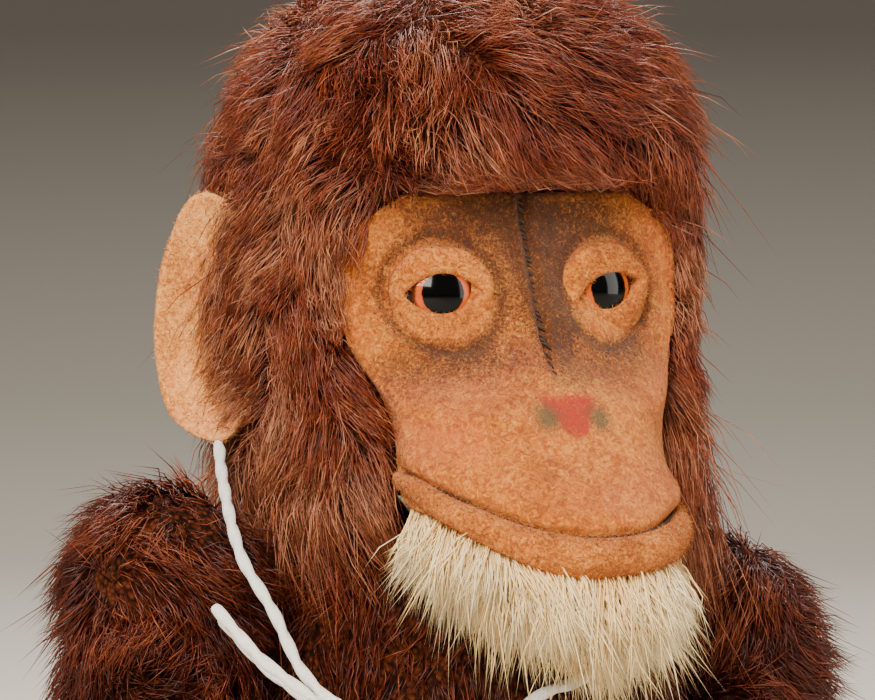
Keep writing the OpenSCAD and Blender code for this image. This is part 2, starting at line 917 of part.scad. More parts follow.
torso_skin();
torso_stuffing();
front_frame_plate();
rear_frame_plate();
frame_pillars();
shoulder_brackets();
shoulder_bushes();
neck_bridge();
neck_bolt();
neck_disc_lower();
neck_nut();
mainspring();
rocker_stud();
key_grommet();
drum_bracket();
drum_shell();
drum_top_head();
drum_bottom_head();
drum_hoops();
drum_rivets();
drum_eyelet();
hip_pins();
hip_discs();
neck_cord();
cord_knot();
cord_tails();
drum_cord();
head_skin();
head_stuffing();
face_felt();
lower_lip();
ear(1);  // left_ear
ear(-1);  // right_ear
glass_eyes();
eyelids();
eye_shanks();
chin_beard();
neck_disc_upper();
right_arm_plush();
right_hand();
right_arm_wire();
right_drumstick();
left_arm_plush();
left_hand();
left_arm_wire();
left_drumstick();
right_leg_plush();
right_foot();
right_leg_disc();
left_leg_plush();
left_foot();
left_leg_disc();
winding_key();
winding_arbor();
great_wheel();
click();
second_wheel();
crank_wheel();
governor();
rocker();
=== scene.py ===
import json
import math
import bpy
import numpy as np
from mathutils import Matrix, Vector


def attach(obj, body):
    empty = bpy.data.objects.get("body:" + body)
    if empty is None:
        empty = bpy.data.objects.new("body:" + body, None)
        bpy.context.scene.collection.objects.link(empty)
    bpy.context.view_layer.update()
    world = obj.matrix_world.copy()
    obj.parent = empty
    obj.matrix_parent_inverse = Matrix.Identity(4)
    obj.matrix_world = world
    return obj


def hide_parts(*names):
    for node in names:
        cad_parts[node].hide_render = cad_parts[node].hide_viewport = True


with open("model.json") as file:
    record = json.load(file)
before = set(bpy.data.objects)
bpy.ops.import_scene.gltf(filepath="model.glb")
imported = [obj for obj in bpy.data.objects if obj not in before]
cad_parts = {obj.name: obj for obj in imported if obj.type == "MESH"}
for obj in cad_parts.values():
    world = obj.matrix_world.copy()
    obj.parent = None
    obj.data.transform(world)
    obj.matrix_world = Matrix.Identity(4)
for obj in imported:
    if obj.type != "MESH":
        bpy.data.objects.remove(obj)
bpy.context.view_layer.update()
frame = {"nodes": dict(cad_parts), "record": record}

MM = 0.001
DOWN = np.array([0.0, 0.0, -1.0])


# ---------- small tools ----------

def linear(code):
    """An sRGB colour such as "7a3a20" as linear red, green, blue and alpha."""
    parts = [int(code[i:i + 2], 16) / 255 for i in (0, 2, 4)]
    return [c / 12.92 if c <= 0.04045 else ((c + 0.055) / 1.055) ** 2.4 for c in parts] + [1.0]


def unit(v):
    """Each vector made one long."""
    return v / np.maximum(np.linalg.norm(v, axis=-1, keepdims=True), 1e-9)


def smoothstep(x, low, high):
    """Rises smoothly from 0 at low to 1 at high. It falls where low is above high."""
    t = np.clip((x - low) / (high - low), 0, 1)
    return t * t * (3 - 2 * t)


def drift(points, size, seed):
    """Smooth vector noise at points, from -1 to 1: a sum of seeded sine waves about size mm long."""
    rng = np.random.default_rng(seed)
    total = np.zeros((len(points), 3))
    for _ in range(6):
        wave = rng.normal(size=(3, 3)) * 3.6 / size
        total += np.sin(points @ wave + rng.uniform(0, 2 * np.pi, 3))
    return total / 3


def new_mesh(name, points, *face_arrays, smooth=True):
    """A mesh object from points in mm and arrays of faces, each array with faces of one size."""
    mesh = bpy.data.meshes.new(name)
    mesh.vertices.add(len(points))
    mesh.vertices.foreach_set("co", (np.asarray(points, float) * MM).ravel())
    face_arrays = [np.asarray(f, np.int32) for f in face_arrays if len(f)]
    corners = np.concatenate([f.ravel() for f in face_arrays])
    sizes = np.concatenate([np.full(len(f), f.shape[1]) for f in face_arrays])
    mesh.loops.add(len(corners))
    mesh.loops.foreach_set("vertex_index", corners)
    mesh.polygons.add(len(sizes))
    mesh.polygons.foreach_set("loop_start", np.concatenate([[0], np.cumsum(sizes)[:-1]]))
    mesh.polygons.foreach_set("use_smooth", np.full(len(sizes), smooth))
    mesh.update(calc_edges=True)
    made = bpy.data.objects.new(name, mesh)
    bpy.context.scene.collection.objects.link(made)
    return made


def store(piece, **values):
    """Keeps one number per point on the mesh, for its material."""
    for name, v in values.items():
        piece.data.attributes.new(name, "FLOAT", "POINT").data.foreach_set(
            "value", np.asarray(v, np.float32).ravel())


def grid_faces(rows, cols, wrap):
    """Quads between rows of points. With wrap, the last point of a row joins the first."""
    i, j = np.meshgrid(np.arange(rows - 1), np.arange(cols if wrap else cols - 1), indexing="ij")
    a = (i * cols + j).ravel()
    b = (i * cols + (j + 1) % cols).ravel()
    return np.stack([a, b, b + cols, a + cols], 1)


def closed_rows(rows):
    """Points and faces of a closed surface through rings of points, with a fan at each end.

    rows has the shape (rings, points in a ring, 3). Rings run anticlockwise as seen from
    the last ring's side, so that the faces point outwards.
    """
    rings, cols = rows.shape[:2]
    points = np.concatenate([rows.reshape(-1, 3), rows[0].mean(0)[None], rows[-1].mean(0)[None]])
    k = np.arange(cols)
    low, high = rings * cols, rings * cols + 1
    start = np.stack([np.full(cols, low), (k + 1) % cols, k], 1)
    end = np.stack([np.full(cols, high), (rings - 1) * cols + k,
                    (rings - 1) * cols + (k + 1) % cols], 1)
    return points, grid_faces(rings, cols, True), np.concatenate([start, end])


def sheet_solid(front, back):
    """A closed solid between two grids of points: the front, the back and the four edges."""
    rows, cols = front.shape[:2]
    size = rows * cols
    face = grid_faces(rows, cols, False)
    top, bottom = np.arange(cols), (rows - 1) * cols + np.arange(cols)
    left, right = np.arange(rows) * cols, np.arange(rows) * cols + cols - 1
    rim = np.concatenate([bottom, right[::-1][1:], top[::-1][1:], left[1:-1]])
    nxt = np.roll(rim, -1)
    edge = np.stack([nxt, rim, rim + size, nxt + size], 1)
    points = np.concatenate([front.reshape(-1, 3), back.reshape(-1, 3)])
    return points, np.concatenate([face, face[:, ::-1] + size, edge])


def tidy_normals(piece):
    """Turns the faces outwards."""
    bpy.context.view_layer.objects.active = piece
    bpy.ops.object.select_all(action="DESELECT")
    piece.select_set(True)
    bpy.ops.object.mode_set(mode="EDIT")
    bpy.ops.mesh.select_all(action="SELECT")
    bpy.ops.mesh.normals_make_consistent(inside=False)
    bpy.ops.object.mode_set(mode="OBJECT")


def catmull(points, steps):
    """Points on a smooth curve through the given points."""
    p = np.asarray(points, float)
    p = np.concatenate([p[:1], p, p[-1:]])
    t = np.arange(steps)[None, :, None] / steps
    a, b, c, d = (p[k:len(p) - 3 + k][:, None] for k in range(4))
    curve = 0.5 * (2 * b + (c - a) * t + (2 * a - 5 * b + 4 * c - d) * t ** 2
                   + (3 * b - a - 3 * c + d) * t ** 3)
    return np.concatenate([curve.reshape(-1, p.shape[1]), p[-1:]])


def frames_along(path, up=(0, 0, 1)):
    """Two directions square to the path at each of its points, carried along with little twist."""
    tangent = unit(np.gradient(path, axis=0))
    side = np.zeros_like(path)
    ref = np.cross(up, tangent[0])
    side[0] = unit(ref if np.linalg.norm(ref) > 0.1 else np.cross([1, 0, 0], tangent[0]))
    for i in range(1, len(path)):
        side[i] = unit(side[i - 1] - tangent[i] * (side[i - 1] @ tangent[i]))
    return side, np.cross(tangent, side)


def swept(path, radii, sides=32, shape=None):
    """Rings along a path. shape gives each ring's radius factor from its angle and its index."""
    side, over = frames_along(path)
    angle = np.arange(sides) * 2 * np.pi / sides
    r = np.asarray(radii, float)[:, None] * np.ones(sides)
    if shape is not None:
        r = r * shape(angle[None, :], np.arange(len(path))[:, None])
    return (path[:, None] + r[..., None] * (np.cos(angle)[None, :, None] * side[:, None]
                                            + np.sin(angle)[None, :, None] * over[:, None]))


def scatter(points, quads, count, seed, keep=None):
    """Places on a surface, evenly by area: each place and the surface's direction there."""
    rng = np.random.default_rng(seed)
    corners = points[quads]
    area = 0.5 * np.linalg.norm(np.cross(corners[:, 2] - corners[:, 0],
                                         corners[:, 3] - corners[:, 1]), axis=1)
    normal = unit(np.cross(corners[:, 2] - corners[:, 0], corners[:, 3] - corners[:, 1]))
    if keep is not None:
        area = area * keep(corners.mean(1), normal)
    pick = rng.choice(len(quads), size=count, p=area / area.sum())
    u, v = rng.uniform(size=(2, count, 1))
    c = corners[pick]
    place = (c[:, 0] * (1 - u) + c[:, 1] * u) * (1 - v) + (c[:, 3] * (1 - u) + c[:, 2] * u) * v
    return place, normal[pick]


def nearest(places, guides):
    """The index of the nearest guide to each place."""
    found = np.empty(len(places), int)
    for start in range(0, len(places), 4000):
        part = places[start:start + 4000]
        found[start:start + 4000] = ((part[:, None] - guides[None]) ** 2).sum(2).argmin(1)
    return found


def strand_paths(root, out, comb, length, area, seed, lift=0.5, messy=0.25, droop=0.3, clump=4.5,
                 pull=0.6, frizz=0.35, rings=3, stray=0.07):
    """Lines of hair from root to tip, shape (strands, rings + 1, 3).

    Each leaves its root between the outward and the combed direction and bends towards the
    comb and down. Then it is drawn towards the nearest clump's own line, more near the tip,
    first in small locks and then in large ones, and gets a slight wave.
    """
    rng = np.random.default_rng(seed)
    n = len(root)
    reach = (np.broadcast_to(length, n) * rng.uniform(0.65, 1.15, n))[:, None, None]
    start = unit(out * lift + comb * (1 - lift) + rng.normal(size=(n, 3)) * messy)
    bend = 0.45 * unit(comb + rng.normal(size=(n, 3)) * messy) + droop * DOWN
    t = np.linspace(0, 1, rings + 1)[None, :, None]
    tame = (rng.uniform(size=(n, 1, 1)) > stray).astype(float)
    reach = reach * (1 + 0.25 * (1 - tame))
    line = root[:, None] + reach * (t * start[:, None] * (1 - 0.25 * t) + t * t * bend[:, None])
    for spacing, strength in ((clump / 3, 0.55), (clump, pull)):
        guides = rng.choice(n, size=min(n, int(area / spacing ** 2)), replace=False)
        follow = guides[nearest(root, root[guides])]
        goal = line[follow] - root[follow][:, None] + 0.75 * root[follow][:, None] + 0.25 * root[:, None]
        share = strength * t ** 1.3 * rng.uniform(0.5, 1, (n, 1, 1)) * tame
        line = line * (1 - share) + goal * share
    wave = rng.normal(size=(n, 1, 3))
    phase = rng.uniform(0, 6.3, (n, 1, 1))
    curl = drift(root, clump * 0.6, seed + 5)[:, None] * reach
    return line + frizz * (0.6 * wave * t * np.sin(phase + 5 * t) + 0.32 * curl * t * np.sin(2 + 3 * t))


def strand_mesh(name, line, width, tone, seed):
    """A closed three-sided hair along each line, tapering to a point at its tip."""
    rng = np.random.default_rng(seed)
    n, rings = line.shape[0], line.shape[1] - 1
    along = unit(line[:, -1] - line[:, 0])
    side = unit(np.cross(along, rng.normal(size=(n, 3))))
    over = np.cross(along, side)
    t = np.arange(rings) / rings
    radius = (np.broadcast_to(width, n) / 2 * rng.uniform(0.7, 1.3, n))[:, None] * (1 - 0.55 * t ** 2)
    angle = np.arange(3) * 2 * np.pi / 3
    around = (np.cos(angle)[None, :, None] * side[:, None] + np.sin(angle)[None, :, None] * over[:, None])
    body = line[:, :rings, None] + radius[:, :, None, None] * around[:, None]
    points = np.concatenate([body.reshape(n, rings * 3, 3), line[:, -1:]], 1)
    step = rings * 3 + 1
    base = (np.arange(n) * step)[:, None, None]
    wall = [[k * 3 + j, k * 3 + (j + 1) % 3, k * 3 + 3 + (j + 1) % 3, k * 3 + 3 + j]
            for k in range(rings - 1) for j in range(3)]
    last = (rings - 1) * 3
    ends = [[0, 2, 1]] + [[last + j, last + (j + 1) % 3, rings * 3] for j in range(3)]
    wall = np.array(wall, int).reshape(-1, 4)
    piece = new_mesh(name, points.reshape(-1, 3), (wall[None] + base).reshape(-1, 4),
                     (np.array(ends)[None] + base).reshape(-1, 3))
    share = np.concatenate([np.repeat(t, 3), [1.0]])
    store(piece, along=np.broadcast_to(share, (n, step)), tone=np.repeat(tone, step))
    return piece


# ---------- camera, floor and light ----------

TARGET = np.array([-12.2, -20.0, 132.5])
TURN, TILT, AWAY = math.radians(-25), math.radians(4), 650.0
BACK = np.array([math.sin(TURN) * math.cos(TILT), -math.cos(TURN) * math.cos(TILT), math.sin(TILT)])

camera = bpy.data.objects.new("camera", bpy.data.cameras.new("camera"))
bpy.context.scene.collection.objects.link(camera)
camera.data.sensor_width = 36
camera.data.lens = 36 * AWAY / 115
camera.location = (TARGET + BACK * AWAY) * MM
camera.rotation_mode = "QUATERNION"
camera.rotation_quaternion = Vector(-BACK).to_track_quat("-Z", "Y")
camera.data.clip_start = 0.01
camera.data.clip_end = 20
bpy.context.scene.camera = camera


def node_in(tree, kind, inputs=None, **settings):
    """Adds a node, sets its settings, and sets or links each of its inputs."""
    node = tree.nodes.new("ShaderNode" + kind)
    for name, value in settings.items():
        setattr(node, name, value)
    for name, value in (inputs or {}).items():
        socket = node.inputs[name]
        if isinstance(value, bpy.types.NodeSocket):
            tree.links.new(value, socket)
        else:
            socket.default_value = value
    return node


def material(name):
    """A new material, its node tree and its own shader, which goes to the output."""
    made = bpy.data.materials.new(name)
    made.use_nodes = True
    tree = made.node_tree
    tree.nodes.clear()
    shader = node_in(tree, "BsdfPrincipled")
    node_in(tree, "OutputMaterial", {"Surface": shader.outputs[0]})
    return made, tree, shader


def ramp(tree, factor, *stops, interpolation="LINEAR"):
    """A colour ramp with stops of (place, colour code), fed by factor."""
    node = node_in(tree, "ValToRGB", {"Fac": factor})
    node.color_ramp.interpolation = interpolation
    while len(node.color_ramp.elements) < len(stops):
        node.color_ramp.elements.new(0.5)
    for element, (place, code) in zip(node.color_ramp.elements, stops):
        element.position = place
        element.color = linear(code)
    return node.outputs["Color"]


def spots(tree, size, detail=4.0, rough=0.6, kind="TexNoise", stretch=(1, 1, 1), curl=0.0, **settings):
    """A noise on the piece's own coordinates, with features about size mm across."""
    where = node_in(tree, "TexCoord").outputs["Object"]
    spread = node_in(tree, "Mapping", {"Vector": where, "Scale": stretch}).outputs[0]
    inputs = {"Vector": spread, "Scale": 1000 / size}
    if kind == "TexNoise":
        inputs.update({"Detail": detail, "Roughness": rough, "Distortion": curl})
    return node_in(tree, kind, inputs, **settings).outputs[0]


def mix(tree, factor, a, b, blend_type="MIX"):
    """One colour laid over another."""
    node = node_in(tree, "Mix", data_type="RGBA", blend_type=blend_type)
    for index, value in ((0, factor), (6, a), (7, b)):
        if isinstance(value, bpy.types.NodeSocket):
            tree.links.new(value, node.inputs[index])
        else:
            node.inputs[index].default_value = value
    return node.outputs[2]


def calc(tree, operation, a, b=0.5):
    """One step of arithmetic on numbers or sockets."""
    node = node_in(tree, "Math", operation=operation)
    for index, value in ((0, a), (1, b)):
        if isinstance(value, bpy.types.NodeSocket):
            tree.links.new(value, node.inputs[index])
        else:
            node.inputs[index].default_value = value
    return node.outputs[0]


def bump(tree, height, mm, strength=0.6):
    """Relief up to mm deep, from a pattern's brightness."""
    return node_in(tree, "Bump", {"Height": height, "Distance": mm * MM, "Strength": strength}).outputs[0]


def attribute(tree, name):
    """A number that store() kept on the mesh."""
    return node_in(tree, "Attribute", attribute_name=name).outputs["Fac"]


def mohair(name, root, low, mid, high, rough=0.42, waist_shade="c8c8c8", fleck="b0a8a4"):
    """Mohair pile: painted shade at the root, lighter at the tip, and each lock its own tone."""
    made, tree, shader = material(name)
    along = attribute(tree, "along")
    body = ramp(tree, attribute(tree, "tone"), (0.05, low), (0.5, mid), (0.95, high))
    # painted shade: each hair is darkened towards its root, where the pile shades itself
    shade = ramp(tree, along, (0.0, root), (0.55, waist_shade), (1.0, "ffffff"))
    flecks = ramp(tree, spots(tree, 2.2), (0.3, fleck), (0.7, "ffffff"))
    colour = mix(tree, 1.0, mix(tree, 1.0, body, shade, "MULTIPLY"), flecks, "MULTIPLY")
    tree.links.new(colour, shader.inputs["Base Color"])
    shader.inputs["Roughness"].default_value = rough
    shader.inputs["Specular IOR Level"].default_value = 0.45
    return made


def backing(name, dark, light, weave=0.8):
    """The woven cloth that the pile is set in, with its threads weave mm apart."""
    made, tree, shader = material(name)
    knots = spots(tree, weave, kind="TexVoronoi", feature="F1")
    colour = mix(tree, ramp(tree, knots, (0.1, "ffffff"), (0.7, "000000")), linear(dark), linear(light))
    tree.links.new(colour, shader.inputs["Base Color"])
    shader.inputs["Roughness"].default_value = 0.9
    shader.inputs["Specular IOR Level"].default_value = 0.1
    tree.links.new(bump(tree, knots, 0.5, 0.8), shader.inputs["Normal"])
    return made


def wool_felt(name, low, mid, high, paint=False):
    """Wool felt: a fine matted grain, soft blotches and, where asked, airbrush and painted shade."""
    made, tree, shader = material(name)
    grain = spots(tree, 1.0, detail=5, rough=0.7, curl=1.6)
    blotch = spots(tree, 9, detail=3)
    fibres = spots(tree, 0.8, detail=4, rough=0.7, curl=2.5)
    colour = ramp(tree, calc(tree, "ADD", calc(tree, "MULTIPLY", grain, 0.75),
                             calc(tree, "MULTIPLY", blotch, 0.25)),
                  (0.38, low), (0.5, mid), (0.62, high))
    if paint:
        # salt-and-pepper airbrush: it catches the raised fibres first; brown also holds painted shade
        speck = calc(tree, "MULTIPLY", calc(tree, "SUBTRACT", fibres, 0.5), 3.4)
        for spray, code, most in (("blush", "c4543c", 0.5), ("brown", "28130a", 0.88),
                                  ("nose", "a82410", 0.92), ("nostril", "4c4a2c", 0.85)):
            amount = attribute(tree, spray)
            there = node_in(tree, "Clamp", {"Value": calc(tree, "MULTIPLY", amount, 6.0)}).outputs[0]
            wet = node_in(tree, "Clamp", {"Value": calc(
                tree, "MULTIPLY", there, calc(tree, "ADD", calc(tree, "MULTIPLY", there, speck),
                                              calc(tree, "MULTIPLY", amount, 1.1)))})
            colour = mix(tree, calc(tree, "MULTIPLY", wet.outputs[0], most), colour, linear(code))
    tree.links.new(colour, shader.inputs["Base Color"])
    shader.inputs["Roughness"].default_value = 0.95
    shader.inputs["Specular IOR Level"].default_value = 0.15
    shader.inputs["Sheen Weight"].default_value = 0.1
    shader.inputs["Sheen Roughness"].default_value = 0.6
    tree.links.new(bump(tree, fibres, 0.5, 0.8), shader.inputs["Normal"])
    return made


def spun_cotton():
    """White two-ply cotton: fibres run slantwise round the cord."""
    made, tree, shader = material("spun_cotton")
    fibres = spots(tree, 0.5, detail=6, rough=0.8)
    colour = ramp(tree, fibres, (0.3, "cfc9bd"), (0.5, "eeeae0"), (0.8, "fbf9f4"))
    tree.links.new(colour, shader.inputs["Base Color"])
    shader.inputs["Roughness"].default_value = 0.85
    shader.inputs["Sheen Weight"].default_value = 0.3
    tree.links.new(bump(tree, fibres, 0.25, 0.7), shader.inputs["Normal"])
    return made


def metal(name, low, high, rough, scratch=0.3, size=6):
    """Worked metal with handling marks and slight tarnish."""
    made, tree, shader = material(name)
    cloud = spots(tree, size, detail=6)
    tree.links.new(ramp(tree, cloud, (0.35, low), (0.65, high)), shader.inputs["Base Color"])
    shader.inputs["Metallic"].default_value = 1.0
    tree.links.new(calc(tree, "ADD", calc(tree, "MULTIPLY", cloud, 0.3), rough - 0.15),
                   shader.inputs["Roughness"])
    marks = spots(tree, 1.2, detail=4, stretch=(1, 1, 6))
    tree.links.new(bump(tree, marks, 0.05, scratch), shader.inputs["Normal"])
    return made


def plain_stuff(name, low, high, size, rough, mm=0.2):
    """A dull material with a mottled grain, such as card, wood or stuffing."""
    made, tree, shader = material(name)
    grain = spots(tree, size, detail=8, rough=0.7)
    tree.links.new(ramp(tree, grain, (0.3, low), (0.7, high)), shader.inputs["Base Color"])
    shader.inputs["Roughness"].default_value = rough
    tree.links.new(bump(tree, grain, mm, 0.5), shader.inputs["Normal"])
    return made


def birch_wood():
    """Turned birch: fine rings and short flecks along the stick."""
    made, tree, shader = material("birch_wood")
    where = node_in(tree, "TexCoord").outputs["Object"]
    rings = node_in(tree, "TexWave", {"Vector": where, "Scale": 320.0, "Distortion": 5.0,
                                      "Detail": 3.0, "Detail Scale": 1.2}).outputs[1]
    flecks = spots(tree, 1.2, detail=8, stretch=(1, 0.25, 1))
    colour = mix(tree, 0.5, ramp(tree, rings, (0.1, "a8763e"), (0.8, "d2a468")),
                 ramp(tree, flecks, (0.35, "9c6c38"), (0.65, "dcb47c")))
    tree.links.new(colour, shader.inputs["Base Color"])
    shader.inputs["Roughness"].default_value = 0.45
    tree.links.new(bump(tree, flecks, 0.08, 0.4), shader.inputs["Normal"])
    return made


def drum_enamel():
    """Red enamel on tin with a zigzag of pale lines round the shell, worn at its edges."""
    made, tree, shader = material("drum_enamel")
    where = node_in(tree, "TexCoord").outputs["Object"]
    centred = node_in(tree, "VectorMath", {0: where, 1: (0, -54.5 * MM, 0)}, operation="SUBTRACT").outputs[0]
    part = node_in(tree, "SeparateXYZ", {0: centred})
    turn = calc(tree, "MULTIPLY", calc(tree, "ARCTAN2", part.outputs[1], part.outputs[0]), 12 / (2 * math.pi))
    zig = calc(tree, "PINGPONG", turn, 0.5)
    height = calc(tree, "DIVIDE", calc(tree, "SUBTRACT", part.outputs[2], 0.0303), 0.0192)
    gap = calc(tree, "ABSOLUTE", calc(tree, "SUBTRACT", calc(tree, "MULTIPLY", zig, 2.0), height))
    line = calc(tree, "LESS_THAN", gap, 0.11)
    wear = spots(tree, 7, detail=8)
    red = ramp(tree, wear, (0.3, "7c1a14"), (0.55, "a8281c"), (0.75, "b83426"))
    colour = mix(tree, line, red, linear("d8c48c"))
    chips = calc(tree, "GREATER_THAN", spots(tree, 2.5, detail=8, rough=0.7), 0.69)
    colour = mix(tree, chips, colour, linear("6c6458"))
    tree.links.new(colour, shader.inputs["Base Color"])
    shader.inputs["Roughness"].default_value = 0.32
    shader.inputs["Coat Weight"].default_value = 0.3
    shader.inputs["Coat Roughness"].default_value = 0.2
    tree.links.new(bump(tree, wear, 0.06, 0.4), shader.inputs["Normal"])
    return made


def drum_hide():
    """Stretched skin with faint veins and hand marks."""
    made, tree, shader = material("drum_hide")
    cloud = spots(tree, 11, detail=6)
    veins = spots(tree, 5, kind="TexVoronoi", feature="DISTANCE_TO_EDGE")
    colour = mix(tree, ramp(tree, veins, (0.0, "ffffff"), (0.08, "000000")),
                 ramp(tree, cloud, (0.3, "cdbd93"), (0.7, "e6dcc0")), linear("c0ac80"))
    tree.links.new(colour, shader.inputs["Base Color"])
    shader.inputs["Roughness"].default_value = 0.5
    tree.links.new(bump(tree, cloud, 0.1, 0.3), shader.inputs["Normal"])
    return made


def eye_glass():
    """A glass eye from the front: black pupil, orange-brown iris with rays, painted reflection at the rim.

    The rings are drawn by the distance from the eye's own axis, in mm.
    """
    made, tree, shader = material("eye_glass")
    far = attribute(tree, "from_axis")
    rays = spots(tree, 0.7, detail=5)
    edge = calc(tree, "ADD", far, calc(tree, "MULTIPLY", calc(tree, "SUBTRACT", rays, 0.5), 0.5))
    # painted reflection: the greyish outermost stop stands for the lights reflected in the glass
    colour = ramp(tree, calc(tree, "DIVIDE", edge, 6.0),
                  (0.465, "020202"), (0.485, "b04c18"), (0.58, "c0561c"), (0.63, "542410"),
                  (0.7, "2c1c16"), (0.8, "4c4442"))
    tree.links.new(colour, shader.inputs["Base Color"])
    shader.inputs["Roughness"].default_value = 0.12
    shader.inputs["Coat Weight"].default_value = 1.0
    shader.inputs["Coat IOR"].default_value = 1.22
    shader.inputs["Specular IOR Level"].default_value = 0.1
    shader.inputs["Coat Roughness"].default_value = 0.03
    return made


def stitch_thread(name, low, high):
    """Waxed sewing thread."""
    made, tree, shader = material(name)
    fibre = spots(tree, 0.4, detail=5)
    tree.links.new(ramp(tree, fibre, (0.35, low), (0.7, high)), shader.inputs["Base Color"])
    shader.inputs["Roughness"].default_value = 0.7
    return made


def paint(piece, made):
    """Gives a piece one material."""
    piece.data.materials.clear()
    piece.data.materials.append(made)


def finish_piece(piece, made, body, slot_name, *replaced):
    """Paints a piece, puts it on its body, hides the CAD nodes it stands for. slot_name is not used."""
    paint(piece, made)
    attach(piece, body)
    if replaced:
        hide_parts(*replaced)


def closed_piece(name, rows):
    """A closed surface through rings of points, with its faces turned outwards."""
    points, walls, caps = closed_rows(rows)
    piece = new_mesh(name, points, walls, caps)
    tidy_normals(piece)
    return piece


def area_light(name, place, size, power, colour):
    """A soft rectangular light at a place in mm, turned towards the head."""
    lamp = bpy.data.lights.new(name, "AREA")
    lamp.shape = "RECTANGLE"
    lamp.size, lamp.size_y = size
    lamp.energy = power
    lamp.color = colour
    made = bpy.data.objects.new(name, lamp)
    made.location = np.array(place) * MM
    made.rotation_mode = "QUATERNION"
    made.rotation_quaternion = (Vector(TARGET * MM) - made.location).to_track_quat("-Z", "Y")
    bpy.context.scene.collection.objects.link(made)


def studio():
    """A pale sweep of paper: floor, a curve and a backdrop with painted shade, and large soft lights."""
    turn = np.array([[math.cos(TURN), -math.sin(TURN)], [math.sin(TURN), math.cos(TURN)]])
    wide = np.linspace(-9000, 9000, 9)
    curve = np.concatenate([[[-9000, 0], [900, 0]],
                            [[900 + 500 * math.sin(a), 500 - 500 * math.cos(a)]
                             for a in np.linspace(0.1, math.pi / 2, 12)], [[1400, 2600]]])
    flat = np.array([[x, y] for y, _ in curve for x in wide]) @ turn.T
    points = np.column_stack([flat, np.repeat(curve[:, 1], len(wide))])
    paper = new_mesh("studio_paper", points, grid_faces(len(curve), len(wide), False))
    made, tree, shader = material("studio_paper")
    height = node_in(tree, "SeparateXYZ", {0: node_in(tree, "TexCoord").outputs["Object"]}).outputs[2]
    # painted shade: the paper darkens from the pale floor up the backdrop, as light falls off
    colour = ramp(tree, calc(tree, "DIVIDE", height, 1.2),
                  (0.0, "c4beb3"), (0.03, "a8a399"), (0.14, "6c6762"), (0.7, "605c58"))
    tree.links.new(colour, shader.inputs["Base Color"])
    shader.inputs["Roughness"].default_value = 0.95
    shader.inputs["Specular IOR Level"].default_value = 0.1
    paint(paper, made)
    area_light("key_light", (-520, -620, 620), (0.5, 0.5), 21, (1.0, 0.93, 0.84))
    area_light("fill_light", (760, -560, 260), (0.5, 0.8), 7, (1.0, 0.96, 0.9))
    area_light("top_light", (120, 420, 760), (0.6, 0.4), 13, (1.0, 0.96, 0.9))
    world = bpy.data.worlds.new("studio")
    world.use_nodes = True
    world.node_tree.nodes["Background"].inputs["Color"].default_value = linear("b8b4ae")
    world.node_tree.nodes["Background"].inputs["Strength"].default_value = 0.42
    bpy.context.scene.world = world


studio()


# ---------- cords ----------

COTTON = spun_cotton()
KNOT = np.array([-20.0, -30.0, 78.5])
NECK_ROUTE = [
    (-20, -30, 78.5), (-29.6, -29.8, 87), (-31.6, -28.8, 88.4), (-33.2, -27.2, 90.3),
    (-34.3, -25, 92.5), (-35, -23, 95.3), (-35.7, -20.5, 98.7), (-36.6, -18, 101.6),
    (-37.7, -15, 105), (-37.5, -11, 108.6), (-36.4, -6, 112.2), (-34.7, 0, 115.9),
    (-32.6, 6, 119), (-30.5, 12.5, 119), (-24, 20, 118.3), (-14, 26.5, 117.5), (0, 28.5, 117),
    (14, 26, 116.5), (24, 18, 116), (30, 8, 114.5), (30, -2, 110.5), (26, -10, 104.5),
    (24.3, -17.5, 101), (18, -26, 96.5), (12.4, -30, 92.6), (3, -33.5, 89.9), (-4.6, -34, 87.8),
    (-12, -32.5, 82.5), (-20, -30, 78.5)]
TAIL_ROUTE = [(-20, -30, 78.5), (-28, -30, 84.2), (-35, -29.2, 89.4), (-40, -26.4, 93.8),
              (-42.5, -23.8, 97.2), (-44.5, -21.2, 100.4)]
DRUM_ROUTE = [(-20, -30, 78.5), (-19.4, -32.5, 72), (-18.4, -35, 66), (-17.2, -37, 60),
              (-15.4, -38.1, 56.6), (-14.7, -37.8, 54.8), (-15.6, -38.7, 53.5), (-16.8, -39.9, 53.1),
              (-17.8, -40.6, 55.2), (-18.6, -39.9, 58.5), (-19.2, -39.1, 62)]
CORD_D = 1.7


def twisted(name, route, steps, replaced=None):
    """A two-ply cord: a tube of two lobes that make half a turn in every 4.5 mm."""
    path = catmull(route, steps)
    gap = np.linalg.norm(np.diff(path, axis=0), axis=1)
    far = np.concatenate([[0], np.cumsum(gap)])
    fine = np.linspace(0, far[-1], max(40, int(far[-1] / 0.45)))
    path = np.stack([np.interp(fine, far, path[:, k]) for k in range(3)], 1)
    spin = fine * 2 * np.pi / 9.0
    radii = np.full(len(path), CORD_D / 2)
    radii[[0, -1]] *= 0.8

    def lobes(angle, index):
        return 0.68 + 0.3 * np.abs(np.cos(angle - spin[index]))

    points, walls, caps = closed_rows(swept(path, radii, 16, lobes))
    cord = new_mesh(name, points, walls, caps)
    finish_piece(cord, COTTON, "torso", "cotton")
    if replaced:
        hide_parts(replaced)
    return path


